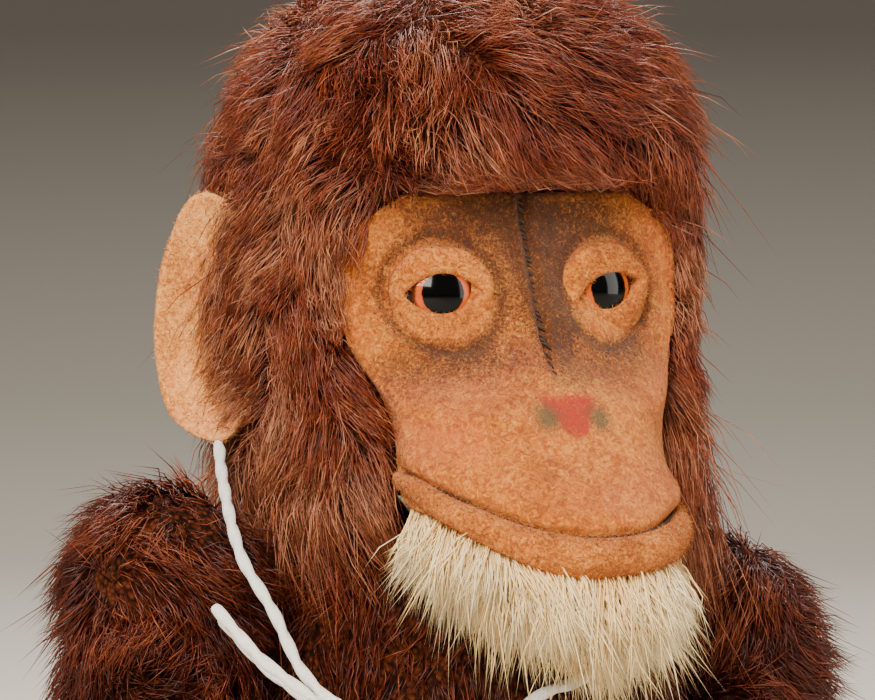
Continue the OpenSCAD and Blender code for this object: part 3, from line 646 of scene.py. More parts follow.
def tied_knot():
    """The knot: a short cord on a three-lobed closed path about 5 mm across."""
    t = np.linspace(0, 2 * np.pi, 120, endpoint=False)
    ring = 0.62 * np.stack([np.sin(t) + 2 * np.sin(2 * t), -1.1 * np.sin(3 * t),
                            np.cos(t) - 2 * np.cos(2 * t)], 1) + KNOT
    path = np.concatenate([ring, ring[:1]])
    side, over = frames_along(path)
    angle = np.arange(12) * 2 * np.pi / 12
    r = 0.85 * (0.75 + 0.3 * np.abs(np.cos(angle[None] - np.linspace(0, 15, 121)[:, None])))
    rows = path[:, None] + r[..., None] * (np.cos(angle)[None, :, None] * side[:, None]
                                           + np.sin(angle)[None, :, None] * over[:, None])
    points, walls, caps = closed_rows(rows)
    knot = new_mesh("tied_knot", points, walls, caps)
    finish_piece(knot, COTTON, "torso", "cotton", "cord_knot")
    return knot


knot = tied_knot()
neck_path = twisted("neck_loop", NECK_ROUTE, 6, "neck_cord")
tail_path = twisted("tail_a", TAIL_ROUTE, 8, "cord_tails")
TAIL_GAP = np.array([0.99, 0, -1.62])
tail_path_b = twisted("tail_b", np.array(TAIL_ROUTE) + TAIL_GAP * np.linspace(0.4, 1, 6)[:, None],
                      8)
twisted("drum_tether", DRUM_ROUTE, 8, "drum_cord")


# ---------- the head's forms ----------

HEAD_LEVELS = np.array([[108.5, 8], [109.5, 15], [112, 22], [116, 26.5], [122, 29], [130, 30.5],
                        [140, 31], [150, 31], [158, 30.2], [165, 28.6], [171, 25.6], [176, 20.5],
                        [179.5, 13], [181.3, 5]])


def head_radius(z):
    """The woven head's radius at a height."""
    return np.interp(z, HEAD_LEVELS[:, 0], HEAD_LEVELS[:, 1])


def head_front(z):
    """How far forward the woven head goes at a height: it lies just behind the felt face."""
    return np.interp(z, [110, 120, 140, 148, 153.5, 155.5, 160, 168, 182],
                     [-21, -17.5, -15, -15, -15.4, -18.5, -23, -26, -26])


def head_form():
    """The woven head: turned levels, with the front flattened to lie behind the face."""
    z = np.interp(np.linspace(0, 1, 70), np.linspace(0, 1, len(HEAD_LEVELS)), HEAD_LEVELS[:, 0])
    r = head_radius(z)
    angle = np.linspace(0, 2 * np.pi, 128, endpoint=False)
    x = r[:, None] * np.sin(angle)
    y = -r[:, None] * np.cos(angle)
    front = head_front(z)[:, None]
    y = np.where(y < front, front + 0.12 * (y - front), y)
    return np.stack([x, y, np.broadcast_to(z[:, None], x.shape)], 2)


# the mouth's height at the right cheek, in the middle and at the left cheek
MOUTH_LEFT, MOUTH_MID, MOUTH_RIGHT = 117.5, 109.8, 113.0
FACE_BOTTOM, FACE_TOP, BELOW_MOUTH = 103, 152.8, 4.4


def soft_interp(z, xs, ys):
    """A table read at five places about z, so that the curve has no corners."""
    return sum(np.interp(z + d, xs, ys) for d in (-1.6, -0.8, 0, 0.8, 1.6)) / 5


def face_width(z):
    """Half the face's width at a height."""
    return soft_interp(z, [103, 106, 112, 116, 122, 127, 131, 136, 140, 144, 147, 149, 150.6, 151.8, 152.8],
                     [18.6, 19.6, 20.4, 20.6, 20.4, 21.6, 23.3, 24.6, 24.9, 24.5, 23.8, 22.5, 20.6, 18.2, 15])


def face_edge(z):
    """How far forward the felt lies at its side edges."""
    return np.interp(z, [103, 110, 116, 122, 127, 131, 140, 147, 150, 153],
                     [-25.5, -25, -23.6, -22, -20, -18, -16.2, -17.2, -18, -18.9])


def face_middle(z):
    """How far forward the felt lies along its centre line: the muzzle is at about -45."""
    return soft_interp(z, [102, 103.6, 105, 108, 112, 116, 120, 123.6, 127, 133, 139, 145, 150, 153],
                       [-43, -44.5, -45.5, -45.5, -44, -41.5, -38, -35.3, -32.7, -27.4, -23.6, -21.5,
                        -19.2, -19.4])


def face_point(phi, z):
    """A point on the felt face. phi runs from -90 degrees at its right edge to 90 at its left."""
    s = np.sin(phi)
    edge, middle = face_edge(z), face_middle(z)
    flat = middle + (edge - middle) * np.abs(s) ** 1.4
    muzzle = edge + (middle - edge) * np.maximum(np.cos(phi), 0) ** 0.9
    forward = flat + (muzzle - flat) * (1 - smoothstep(z, 124, 133))
    drawn_in = 1 - 0.13 * smoothstep(s, 0, 1) * smoothstep(z, 132, 118)
    return np.stack([face_width(z) * s * drawn_in, forward, z], -1)


def face_out(phi, z):
    """The outward direction of the felt face."""
    e = 0.02
    a = face_point(phi + e, z) - face_point(phi - e, z)
    b = face_point(phi, z + 0.5) - face_point(phi, z - 0.5)
    return unit(np.cross(a, b))


def mouth_z(phi):
    """The mouth's height: lowest in the middle and rising with the 2.2th power to each cheek."""
    s = np.sin(phi)
    return np.where(s < 0, MOUTH_MID + (MOUTH_LEFT - MOUTH_MID) * np.abs(s) ** 2.2,
                    MOUTH_MID + (MOUTH_RIGHT - MOUTH_MID) * np.abs(s) ** 2.2)


FELT_FACE = wool_felt("painted_face_felt", "8c4408", "be6414", "de8e38", paint=True)
FELT = wool_felt("plain_felt", "904808", "c06818", "e0923c")
# painted light: the ears get a lighter felt than the face, for the light that falls on them
FELT_EAR_PAINTED_LIGHT = wool_felt("ear_felt_painted_light", "c07030", "f09c48", "ffc074", paint=True)
THREAD = stitch_thread("dark_thread", "1c0e08", "4a2c1c")
EYES = ((-12.0, 140.0), (12.0, 140.0))
EYE_TILT = 11
EYE_HALF_WIDTH = 5.25
GLASS_RADIUS = 5.6


def face_sprays(points):
    """Airbrush amounts on the face, each from 0 to 1, from the distance to painted lines.

    Brown lies between the eyes, over the brow and below the eyes along the muzzle's root.
    The thin brown ring round each eye, under the eyelid's edge, is painted shadow.
    Blush lies along the muzzle's root and by the mouth. The nose is a small heart.
    """
    x, z = points[:, 0], points[:, 2]

    def spray(x0, z0, wide, tall, power=1.0):
        return power * np.exp(-((x - x0) / wide) ** 2 - ((z - z0) / tall) ** 2)

    brown = (spray(0.6, 141, 4.2, 10, 0.75) + spray(1, 142, 1.9, 9, 0.8) + spray(0, 151.5, 18, 1.8, 0.45)
             + spray(-9, 149.5, 9, 2.8, 0.55) + spray(9, 149.5, 8, 2.6, 0.55)
             + spray(3.5, 137, 2.6, 6, 0.6) + spray(-14, 130.6, 8, 2.6, 0.42) + spray(-20, 128, 6, 3.5, 0.3)
             + spray(-6, 131.5, 5, 3, 0.35) + spray(8, 130, 6, 2.6, 0.4) + spray(17, 131, 6, 3, 0.3)
             + spray(-3, 147, 5, 4, 0.4) + spray(4, 147, 5, 4, 0.35))
    for ex, ez in EYES:
        ring = np.hypot(x - ex, z - ez)
        # painted shadow: the thin dark ring just outside each eyelid; the wider, fainter ring is airbrush
        brown += 0.5 * np.exp(-((ring - 7.6) / 0.9) ** 2) + 0.22 * np.exp(-((ring - 8.5) / 2.5) ** 2)
    muzzle_line = 127.5 + 5.0 * np.exp(-(x / 9) ** 2)
    blush = (0.5 * np.exp(-((z - muzzle_line) / 2.0) ** 2) * (0.4 + 0.6 * np.exp(-((x + 10) / 12) ** 2))
             + spray(-16, 122, 4, 3, 0.5) + spray(14, 116, 7, 4, 0.25) + spray(4, 114, 8, 3, 0.2)
             + spray(22, 146, 5, 8, 0.25) + spray(20, 128, 5, 6, 0.3))
    nx, nz = x - 0.3, z - 125.2
    heart = np.maximum(np.abs(nx) / np.interp(nz, [-3.6, -2.2, 0.5, 1.8], [0.5, 2.0, 4.0, 3.6]),
                       np.abs(nz + 0.8) / 2.6)
    nose = 1 - smoothstep(heart, 0.7, 1.25)
    nostril = spray(-3.3, 124.4, 1.5, 1.5, 1.3) + spray(4.1, 124.0, 1.4, 1.5, 1.3)
    return {"brown": np.clip(brown, 0, 1), "blush": np.clip(blush, 0, 1),
            "nose": np.clip(nose, 0, 1), "nostril": np.clip(nostril, 0, 1)}


def fuzz(piece, count, seed, made, sprays=None, keep=None, size=0.75):
    """Loose wool fibres about size mm long on a felt piece, at all angles from its surface.

    Each starts just inside the surface and points along its normal plus 1.3 times a random
    direction. sprays gives the paint at a place, so the fibres are painted like the felt.
    """
    mesh = piece.data
    points = np.empty(len(mesh.vertices) * 3)
    mesh.vertices.foreach_get("co", points)
    first, corners = np.empty(len(mesh.polygons), int), np.empty(len(mesh.loops), int)
    sides = first.copy()
    mesh.polygons.foreach_get("loop_start", first)
    mesh.polygons.foreach_get("loop_total", sides)
    mesh.loops.foreach_get("vertex_index", corners)
    quads = corners[first[sides == 4][:, None] + np.arange(4)]
    root, out = scatter(points.reshape(-1, 3) / MM, quads, count, seed, keep)
    rng = np.random.default_rng(seed)
    way = unit(out + 1.3 * unit(rng.normal(size=out.shape)))
    way += out * np.maximum(0.15 - (way * out).sum(1, keepdims=True), 0)
    line = np.stack([root - 0.1 * out, root + way * rng.uniform(0.4, 1.2, (count, 1)) * size], 1)
    fibres = strand_mesh(piece.name + "_fuzz", line, 0.11, np.full(count, 0.5), seed)
    if sprays:
        store(fibres, **{k: np.repeat(v, 4) for k, v in sprays(root).items()})
    finish_piece(fibres, made, "head", "felt")


def felt_face():
    """The face in one piece of felt.

    Rows run over the height and columns over the angle across the face. The mouth is a
    crease, the brow and the eye sockets swell slightly, and each eye has a shallow dip.
    """
    phi = np.linspace(-np.pi / 2, np.pi / 2, 150)
    grid_phi = np.broadcast_to(phi, (130, 150))
    lower_edge = mouth_z(phi) - BELOW_MOUTH
    grid_z = lower_edge + np.linspace(0, 1, 130)[:, None] * (FACE_TOP - lower_edge)
    points = face_point(grid_phi, grid_z)
    out = face_out(grid_phi, np.clip(grid_z, 104, 152))
    x = points[..., 0]
    dent = np.zeros(x.shape)
    dent -= 0.9 * np.exp(-((grid_z - mouth_z(grid_phi)) / 0.55) ** 2)
    dent += 0.5 * np.exp(-((grid_z - mouth_z(grid_phi) - 2.2) / 1.6) ** 2)
    seam = smoothstep(grid_z, 128, 134)
    dent += 0.55 * np.exp(-((x + 0.75) / 0.6) ** 2) * seam * (0.75 + 0.25 * np.sin(grid_z * 4.2))
    dent -= 0.95 * np.exp(-((x - 0.45) / 0.65) ** 2) * seam
    dent -= 0.3 * np.exp(-(x / 0.7) ** 2) * smoothstep(grid_z, 126, 128) * smoothstep(grid_z, 136, 130)
    for ex, ez in EYES:
        ring = np.hypot(x - ex, grid_z - ez)
        dent -= 0.35 * np.exp(-((ring - 7.3) / 0.8) ** 2)
    lumps = drift(points.reshape(-1, 3), 14, 5)[:, 0].reshape(x.shape)
    dent += 0.35 * lumps * smoothstep(FACE_TOP - grid_z, 0, 4)
    edge = np.minimum(1, (1 - np.abs(np.sin(grid_phi))) / 0.03) ** 0.5
    top = np.clip((FACE_TOP - grid_z) / 1.2, 0, 1) ** 0.5
    front = points + out * (dent * edge * top - 1.1 * (1 - edge * top))[..., None]
    back = points - out * 1.6
    back[..., 0] *= 0.97
    face = new_mesh("felt_face", *sheet_solid(front, back))
    tidy_normals(face)
    sprays = face_sprays(front.reshape(-1, 3))
    store(face, **{k: np.concatenate([v, v]) for k, v in sprays.items()})
    finish_piece(face, FELT_FACE, "head", "felt", "face_felt")
    fuzz(face, 27000, 71, FELT_FACE, face_sprays, lambda c, n: (n[:, 1] < 0.35) + 1e-9)


def lip_band():
    """The lower lip: a rounded band of felt that follows the mouth line from corner to corner."""
    phi = np.linspace(-1.5, 1.62, 150)
    height = 5.2 * np.interp(phi, [-1.5, -1.2, -0.6, 1.0, 1.4, 1.62], [0.45, 0.75, 1, 1, 0.95, 0.7])
    outline = np.array([(-1.0, 0.1), (0.1, 0.05), (1.1, 0.12), (1.75, 0.28), (2.0, 0.48), (1.85, 0.7),
                        (1.3, 0.92), (0.4, 1.04), (-1.0, 1.0), (-1.3, 0.5)])
    outline = np.concatenate([catmull(np.concatenate([outline, outline[:1]]), 3)[:-1]])
    bound = np.clip(phi, -1.54, 1.54)
    out = face_out(bound, mouth_z(bound) - 2)
    out[:, 2] = 0
    out = unit(out)
    swell = np.interp(phi, [-1.5, -1.1, 0, 0.9, 1.35, 1.62], [0.35, 0.8, 0.95, 0.95, 0.75, 0.4])
    z = mouth_z(bound)[:, None] - height[:, None] * outline[None, :, 1]
    base = face_point(np.broadcast_to(bound[:, None], z.shape), np.clip(z, 103.6, 151))
    rows = base + out[:, None] * (outline[None, :, 0] * swell[:, None])[..., None]
    rows[..., 2] = z
    rows += drift(rows.reshape(-1, 3), 9, 12).reshape(rows.shape) * 0.18
    lip = closed_piece("lip_band", rows)
    finish_piece(lip, FELT, "head", "felt", "lower_lip")
    fuzz(lip, 6500, 72, FELT)


def stitches(name, starts, ends, ups, arch, radius):
    """Short threads from start to end, each arched slightly off the felt."""
    t = np.linspace(0, 1, 7)
    bow = np.sin(np.pi * t)
    points, sides, tops, count = [], [], [], 0
    for a, b, up in zip(starts, ends, ups):
        path = a + (b - a) * t[:, None] + up * (bow * arch - 0.25)[:, None]
        thread, walls, caps = closed_rows(swept(path, radius * (0.55 + 0.45 * bow), 6))
        points.append(thread)
        sides.append(walls + count)
        tops.append(caps + count)
        count += len(thread)
    piece = new_mesh(name, np.concatenate(points), np.concatenate(sides), np.concatenate(tops))
    tidy_normals(piece)
    finish_piece(piece, THREAD, "head", "felt")


def face_stitching():
    """Backstitches along the mouth, and slanted overcast stitches up the centre seam."""
    rng = np.random.default_rng(4)
    phi = np.linspace(-1.42, 1.3, 62)
    a = face_point(phi[:-1], mouth_z(phi[:-1]) - 0.1)
    b = face_point(phi[1:], mouth_z(phi[1:]) - 0.1)
    up = face_out(phi[:-1], mouth_z(phi[:-1]))
    a2, b2 = a + (b - a) * 0.14, a + (b - a) * 0.9
    stitches("mouth_stitches", a2 - up * 0.35, b2 - up * 0.35, up, 0.3, 0.24)
    z = np.concatenate([np.arange(151.8, 128.5, -1.15), np.arange(151, 133, -1.7)])
    wide = np.interp(z, [128, 133, 140, 152], [0.35, 0.6, 1.15, 1.1]) * rng.uniform(0.7, 1.2, len(z))
    middle = 0.15 * rng.normal(size=len(z))

    def seam_point(x, height):
        s = np.arcsin(np.clip(x / face_width(height), -1, 1))
        return face_point(s, height) - face_out(s, height) * 0.35

    left = seam_point(middle - wide, z + 0.5)
    right = seam_point(middle + wide, z - 0.5)
    stitches("seam_stitches", left, right, face_out(np.zeros(len(z)), z), 0.4, 0.17)


def almond(theta, half_w, half_h):
    """The distance from the eye's centre to the edge of its pointed opening."""
    big = (half_w ** 2 + half_h ** 2) / (2 * half_h)
    c = big - half_h
    s = np.abs(np.sin(theta))
    return -c * s + np.sqrt(big ** 2 - (c * np.cos(theta)) ** 2)


def eye_place(x, z):
    """The point on the felt at an eye, and its outward direction."""
    phi = math.asin(x / face_width(z))
    at = face_point(np.array([phi]), np.array([z]))[0]
    tilt = math.radians(EYE_TILT) * (1 if x > 0 else -1)
    return at, unit(np.array([math.sin(tilt), -math.cos(tilt), 0.04]))


def eyelid_and_eye(name, x, z, tip, upper, lower):
    """A felt ring with a pointed opening, and the glass eye behind it.

    tip is the opening's slant in degrees. upper and lower are its half heights in mm.
    """
    at, out = eye_place(x, z)
    side = unit(np.cross(out, -DOWN))
    side = side * np.sign(side[0])
    up = np.cross(side, out)
    up = up * np.sign(up[2])
    theta = np.linspace(0, 2 * np.pi, 96, endpoint=False)
    slant = math.radians(tip)
    inner = np.where(np.sin(theta - slant) >= 0, almond(theta - slant, EYE_HALF_WIDTH, upper),
                     almond(theta - slant, EYE_HALF_WIDTH, lower))
    outer = (7.1 + 0.12 * np.sin(3 * theta + 1) + 0.08 * np.sin(7 * theta)
             - 0.75 * np.maximum(np.sin(theta), 0) ** 2)
    section = np.array([(0.0, -1.6), (-0.02, -0.2), (0.0, 0.75), (0.06, 1.2), (0.2, 1.4), (0.45, 1.42),
                        (0.7, 1.15), (0.88, 0.7), (0.98, 0.15), (1.0, -0.6)])
    dist = inner[None] + section[:, :1] * (outer - inner)[None]
    rise = np.broadcast_to(section[:, 1:], dist.shape)
    rows = (at + dist[..., None] * (np.cos(theta)[None, :, None] * side + np.sin(theta)[None, :, None] * up)
            + rise[..., None] * out)
    rows = rows + (drift(rows.reshape(-1, 3), 5, 21)[:, :1].reshape(rows.shape[:2])[..., None] * 0.08) * out
    count, cols = rows.shape[:2]
    quads = grid_faces(count, cols, True)
    k = np.arange(cols)
    last = (count - 1) * cols
    under = np.stack([last + k, last + (k + 1) % cols, (k + 1) % cols, k], 1)
    lid = new_mesh("eyelid_" + name, rows.reshape(-1, 3), np.concatenate([quads, under]))
    tidy_normals(lid)
    finish_piece(lid, FELT, "head", "felt")
    fuzz(lid, 2800, 73, FELT)
    # the glass: a low dome in front and a flat back
    dome = np.linspace(0.05, GLASS_RADIUS, 26)
    radial = np.concatenate([dome, [GLASS_RADIUS + 0.1, GLASS_RADIUS]])
    height = np.concatenate([1.5 - 2.3 * (dome / GLASS_RADIUS) ** 2, [-1.2, -1.8]])
    glass_rows = (at + radial[::-1, None, None] * (np.cos(theta)[None, :, None] * side
                                                   + np.sin(theta)[None, :, None] * up)
                  + height[::-1, None, None] * out)
    points, walls, caps = closed_rows(glass_rows)
    eye = new_mesh("eye_" + name, points, walls, caps)
    tidy_normals(eye)
    store(eye, from_axis=np.linalg.norm(np.cross(points - at, out), axis=1))
    finish_piece(eye, GLASS, "head", "eye_glass")
    return lid, eye


felt_face()
lip_band()
face_stitching()
GLASS = eye_glass()
lid_right, eye_right = eyelid_and_eye("right", *EYES[0], 2, 2.45, 2.55)
eyelid_and_eye("left", *EYES[1], 12, 1.9, 2.5)
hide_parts("eyelids")
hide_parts("glass_eyes")


def felt_ear(side, sign):
    """An ear: two layers of felt, cupped forwards, with a rolled rim and a folded root.

    Rings run from the middle of the front to the rim and on to the middle of the back.
    """
    root = np.array([31.5 * sign, -2.0, 0])
    rim = np.array([36.8 * sign, 14.5, 0])
    across = unit(rim - root)
    out = np.array([across[1] * sign, -across[0] * sign, 0])
    theta = np.linspace(0, 2 * np.pi, 96, endpoint=False)
    half_w = 8.4 * (1 - 0.16 * np.sin(theta) - 0.06 * np.sin(2 * theta))
    half_h = 16.4
    rho_front = np.linspace(0.03, 1, 24)
    rho_back = np.linspace(1, 0.03, 12)
    ux = np.sign(np.cos(theta)) * np.abs(np.cos(theta)) ** 0.86
    uz = np.sign(np.sin(theta)) * np.abs(np.sin(theta)) ** 0.9
    centre = (root + rim) / 2 + np.array([0, 0, 136.0])

    def ring(rho, depth):
        x = half_w * ux * rho
        z = half_h * uz * rho
        return centre + x[:, None] * across + z[:, None] * np.array([0, 0, 1.0]) + depth[:, None] * out

    def cup(rho):
        bowl = -4.2 + 7.2 * rho ** 2.6 * (0.62 + 0.38 * np.cos(theta))
        return bowl - 0.9 * np.cos(theta) * rho

    rows = [ring(r, cup(r) + 0.25 * np.sin(5 * theta) * r ** 3) for r in rho_front]
    rows += [ring(1.02, cup(1.0) - 1.1)]
    rows += [ring(r, cup(r) - 2.1 * np.sqrt(max(1 - r ** 8, 0.02))) for r in rho_back]
    rows = np.array(rows)
    rows += drift(rows.reshape(-1, 3), 8, 31).reshape(rows.shape) * 0.25
    points, walls, caps = closed_rows(rows)
    ear = new_mesh("ear_" + side, points, walls, caps)
    tidy_normals(ear)

    def ear_sprays(places):
        co = places - centre
        rho = np.hypot(co @ across / 8.4, co[:, 2] / half_h)
        z, a = co[:, 2], co @ across
        blush = (0.6 * np.exp(-((a - 1) / 4) ** 2 - ((z - 3) / 4) ** 2)
                 + 0.5 * np.exp(-((z + 7) / 4) ** 2 - ((a + 2) / 5) ** 2)
                 + 0.35 * np.exp(-((z + 14) / 2.5) ** 2))
        # painted shade: the faint brown ring in the ear's bowl stands for its depth
        return {"blush": np.clip(blush, 0, 1), "brown": 0.12 * np.exp(-((rho - 0.62) / 0.1) ** 2),
                "nose": 0 * z, "nostril": 0 * z}

    store(ear, **ear_sprays(points))
    finish_piece(ear, FELT_EAR_PAINTED_LIGHT, "head", "felt", side + "_ear")
    fuzz(ear, 6500, 75, FELT_EAR_PAINTED_LIGHT, ear_sprays)


felt_ear("right", -1)
felt_ear("left", 1)


# ---------- pile ----------

# the colour after each name is the painted shade at the hair roots
HEAD_PILE = mohair("head_mohair", "6a3c2c", "741f06", "b04818", "f0a070")
BODY_PILE = mohair("body_mohair", "5c3020", "561602", "8c320a", "d8743c")
BEARD_PILE = mohair("beard_mohair", "ffe8c0", "ffd894", "ffe6ac", "fff2d0", rough=0.6,
                    waist_shade="fffaf0", fleck="f4f0ea")
HEAD_CLOTH = backing("head_cloth", "2c1008", "7c4024")
BODY_CLOTH = backing("body_cloth", "1c0a04", "602c14")
CORD_POINTS = np.concatenate([neck_path[::3], tail_path[::3], tail_path_b[::3]])


def off_the_cord(line, reach=9.0, gap=1.25):
    """True for hairs that leave the cord in sight: they don't cross the space outside it.

    A hair is left out where one of its points lies less than gap from the short line that
    runs from a point of the cord outwards for reach.
    """
    free = np.ones(len(line), bool)
    away = CORD_POINTS.copy()
    away[:, 2] = 0
    away = unit(unit(away) * 0.6 + BACK * np.where(CORD_POINTS[:, 1:2] < 8, 0.8, 0))
    for k in range(1, line.shape[1]):
        for start in range(0, len(line), 4000):
            p = line[start:start + 4000, k]
            rel = p[:, None] - CORD_POINTS[None]
            along = np.clip((rel * away[None]).sum(2), -0.6, reach)
            miss = np.linalg.norm(rel - along[..., None] * away[None], axis=2).min(1)
            free[start:start + 4000] &= miss > gap
    return free


def lock_tone(root, seed, base=0.45):
    """Each hair's tone, from 0 dark to 1 light: by its lock and by chance."""
    rng = np.random.default_rng(seed)
    big = drift(root, 11, seed + 1)[:, 0] * 0.22
    small = drift(root, 3.5, seed + 2)[:, 1] * 0.18
    return np.clip(base + big + small + rng.normal(size=len(root)) * 0.16, 0, 1)


def pile(prefix, line, width, tone, seed, made, body, slot_name, per_piece=12000):
    """Hair meshes of up to per_piece strands each."""
    rng = np.random.default_rng(seed)
    order = rng.permutation(len(line))
    parts = max(1, math.ceil(len(line) / per_piece))
    for i in range(parts):
        pick = order[i::parts]
        piece = strand_mesh(f"{prefix}_{i + 1}", line[pick], np.broadcast_to(width, len(line))[pick],
                            tone[pick], seed + i)
        finish_piece(piece, made, body, slot_name)


def head_pile():
    """The head's cloth and its long pile, which is combed from the crown and round the face."""
    rows = head_form()
    points, walls, caps = closed_rows(rows)
    cloth = new_mesh("head_cloth", points, walls, caps)
    tidy_normals(cloth)
    finish_piece(cloth, HEAD_CLOTH, "head", "head_mohair", "head_skin", "head_stuffing")

    def hairy(c, n):
        x, y, z = c.T
        gap = np.abs(x) - face_width(np.clip(z, FACE_BOTTOM, FACE_TOP))
        mask = (gap < -0.5) & (y < -10) & (z < 152.9)
        beside = (y < -8) & (z < 156) & (gap < 7)
        return np.where(mask, 0.0, 1 + 0.8 * beside) * smoothstep(z, 108, 113) + 1e-9

    root, out = scatter(points, walls, 44800, 11, hairy)
    out *= np.sign((out * (root - root.mean(0))).sum())
    x, y, z = root.T
    turn = np.arctan2(x, -y)
    front = np.exp(-(turn / 0.9) ** 2)
    crown = smoothstep(z, 160, 175)
    # the comb: forwards and down over the brow, out and down at the sides, down behind
    comb = np.stack([0.22 + 0.3 * np.tanh((x + 12) / 16) + 0.2 * crown,
                     -0.6 * front * crown - 0.15 * front + 0.35 * smoothstep(np.abs(x), 20, 28),
                     -0.9 + 0.5 * crown], 1)
    swirl = drift(root, 18, 41) * (0.4 + 0.6 * crown)[:, None] + drift(root, 5, 43) * 0.4
    swirl[:, 2] *= 0.6
    comb = unit(comb + swirl)
    # beside the face the pile stands forwards and falls over the felt's edge
    edge_gap = np.abs(x) - face_width(np.clip(z, FACE_BOTTOM, FACE_TOP))
    near = ((y < -5) & (z < 152)) * smoothstep(edge_gap, 10, 2) * (0.3 + 0.7 * smoothstep(z, 135, 127))
    forward = np.stack([-0.12 * np.sign(x), -0.75 + 0 * x, -0.55 + 0 * x], 1) + drift(root, 5, 44) * 0.3
    comb = unit(comb + (forward - comb) * near[:, None])
    # and low on the cheeks it hangs straight down to the shoulders
    hang = smoothstep(z, 124, 112) * (y < 12)
    comb = unit(comb + (np.array([0, -0.1, -1.0]) + drift(root, 6, 45) * 0.25 - comb) * hang[:, None] * 0.8)
    comb = unit(comb - out * (comb * out).sum(1, keepdims=True) * 0.8)
    hairline = smoothstep(z, 154.5, 160) * front + (1 - front)
    length = 9.6 * (0.22 + 0.78 * hairline)
    cheek = smoothstep(z, 130, 116)
    length = length * (1 + (1.1 + 0.7 * (x > 10)) * cheek) * (1 - 0.15 * crown)
    length *= 1 - 0.4 * smoothstep(z, 127, 134) * (z < 150) * (y < -5) * smoothstep(edge_gap, 6, 1)
    # the ear stands clear of the pile
    length *= 1 - 0.5 * np.exp(-((y + 3) / 9) ** 2) * smoothstep(np.abs(x), 24, 29) * smoothstep(z, 116, 124)
    line = strand_paths(root, out, comb, length, 11000, 12, lift=0.52, messy=0.3, droop=0.2, clump=8,
                        pull=0.62, frizz=0.75)
    # nothing lies inside the woven head or before the face
    for k in range(1, 4):
        p = line[:, k]
        r = np.hypot(p[:, 0], p[:, 1])
        least = head_radius(p[:, 2]) + 0.6 * k
        push = np.where((p[:, 2] > 109) & (p[:, 1] > -15), np.maximum(least - r, 0), 0)
        p[:, :2] += unit(p[:, :2]) * push[:, None]
    # hair that would cross the face is laid along its edge instead
    rng = np.random.default_rng(15)
    stay = rng.uniform(-2.2, 0.4, len(line))
    from_brow = (z > 152.5) & (np.abs(x) < 24)
    for k in range(1, 4):
        p = line[:, k]
        wide = face_width(np.clip(p[:, 2], FACE_BOTTOM, FACE_TOP))
        before = (np.abs(p[:, 0]) < wide + stay) & (p[:, 1] < -12) & (p[:, 2] < 153) & (p[:, 2] > 100)
        p[:, 2] = np.where(before & from_brow, 154.2 + 0.9 * stay + 0.4 * k, p[:, 2])
        aside = before & ~from_brow
        p[:, 0] = np.where(aside, np.sign(x) * (wide + stay), p[:, 0])
    keep = off_the_cord(line)
    line, root = line[keep], root[keep]
    # painted light: the hair is made lighter low on the head, at temples and cheeks, where more light falls
    tone = lock_tone(root, 13, 0.46 + 0.16 * smoothstep(root[:, 2], 164, 146))
    pile("head_hair", line, 0.16, tone, 14, HEAD_PILE, "head", "head_mohair")


head_pile()


def beard():
    """The beard: ivory locks that fan down and outwards from under the lip."""
    rng = np.random.default_rng(51)
    n = 11000
    phi = rng.uniform(-1.5, 1.52, n)
    drop = rng.uniform(0, 1, n) ** 0.9
    bottom = mouth_z(phi) - 3.6
    s = np.sin(phi)
    edge, middle = -25.5, -44.5
    inward = 1 - 0.5 * drop
    root = np.stack([(19.4 - 4.4 * smoothstep(s, 0, 1)) * s * (1 - 0.35 * drop),
                     edge + (middle - edge) * np.cos(phi) * inward,
                     bottom - 5.5 * drop], 1)
    out = unit(np.stack([0.55 * s, -np.cos(phi), -0.35 * np.ones(n)], 1))
    comb = np.stack([0.12 * np.minimum(s, 0) - 0.1 * np.maximum(s, 0), -0.42 * np.cos(phi), -np.ones(n)], 1)
    comb = unit(comb + drift(root, 8, 52) * 0.3)
    length = (12.5 - 3 * np.abs(s)) * rng.uniform(0.6, 1.1, n)
    line = strand_paths(root, out, comb, length, 1100, 53, lift=0.42, messy=0.24, droop=0.15, clump=4.0,
                        pull=0.35, frizz=0.9)
    tone = lock_tone(root, 54, 0.55)
    pile("beard_hair", line, 0.22, tone, 55, BEARD_PILE, "head", "beard_mohair")
    # the cloth that it grows from closes the underside of the face
    angle = np.linspace(-1.5, 1.52, 60)
    t = np.linspace(0, 1, 10)[:, None]
    rows = np.stack([19.8 * np.sin(angle) * (1 - 0.55 * t),
                     -24.5 - 19.0 * np.cos(angle) * (1 - 0.55 * t),
                     (mouth_z(angle) - 4.2) * (1 - t) + 99.2 * t], 2)
    inner = rows + np.array([0, 2.5, 0.8])
    cloth = new_mesh("beard_cloth", *sheet_solid(rows, inner))
    tidy_normals(cloth)
    finish_piece(cloth, backing("beard_cloth", "6c644c", "b0a888"), "head", "beard_mohair", "chin_beard")


beard()


# ---------- body and limbs ----------

TORSO_LEVELS = np.array([[0.3, 20], [0.8, 24], [3, 25.7], [12, 26.2], [28, 27.6], [45, 30], [65, 30],
                         [85, 27.6], [96, 26.4], [103, 24], [107, 19], [108.8, 12]])


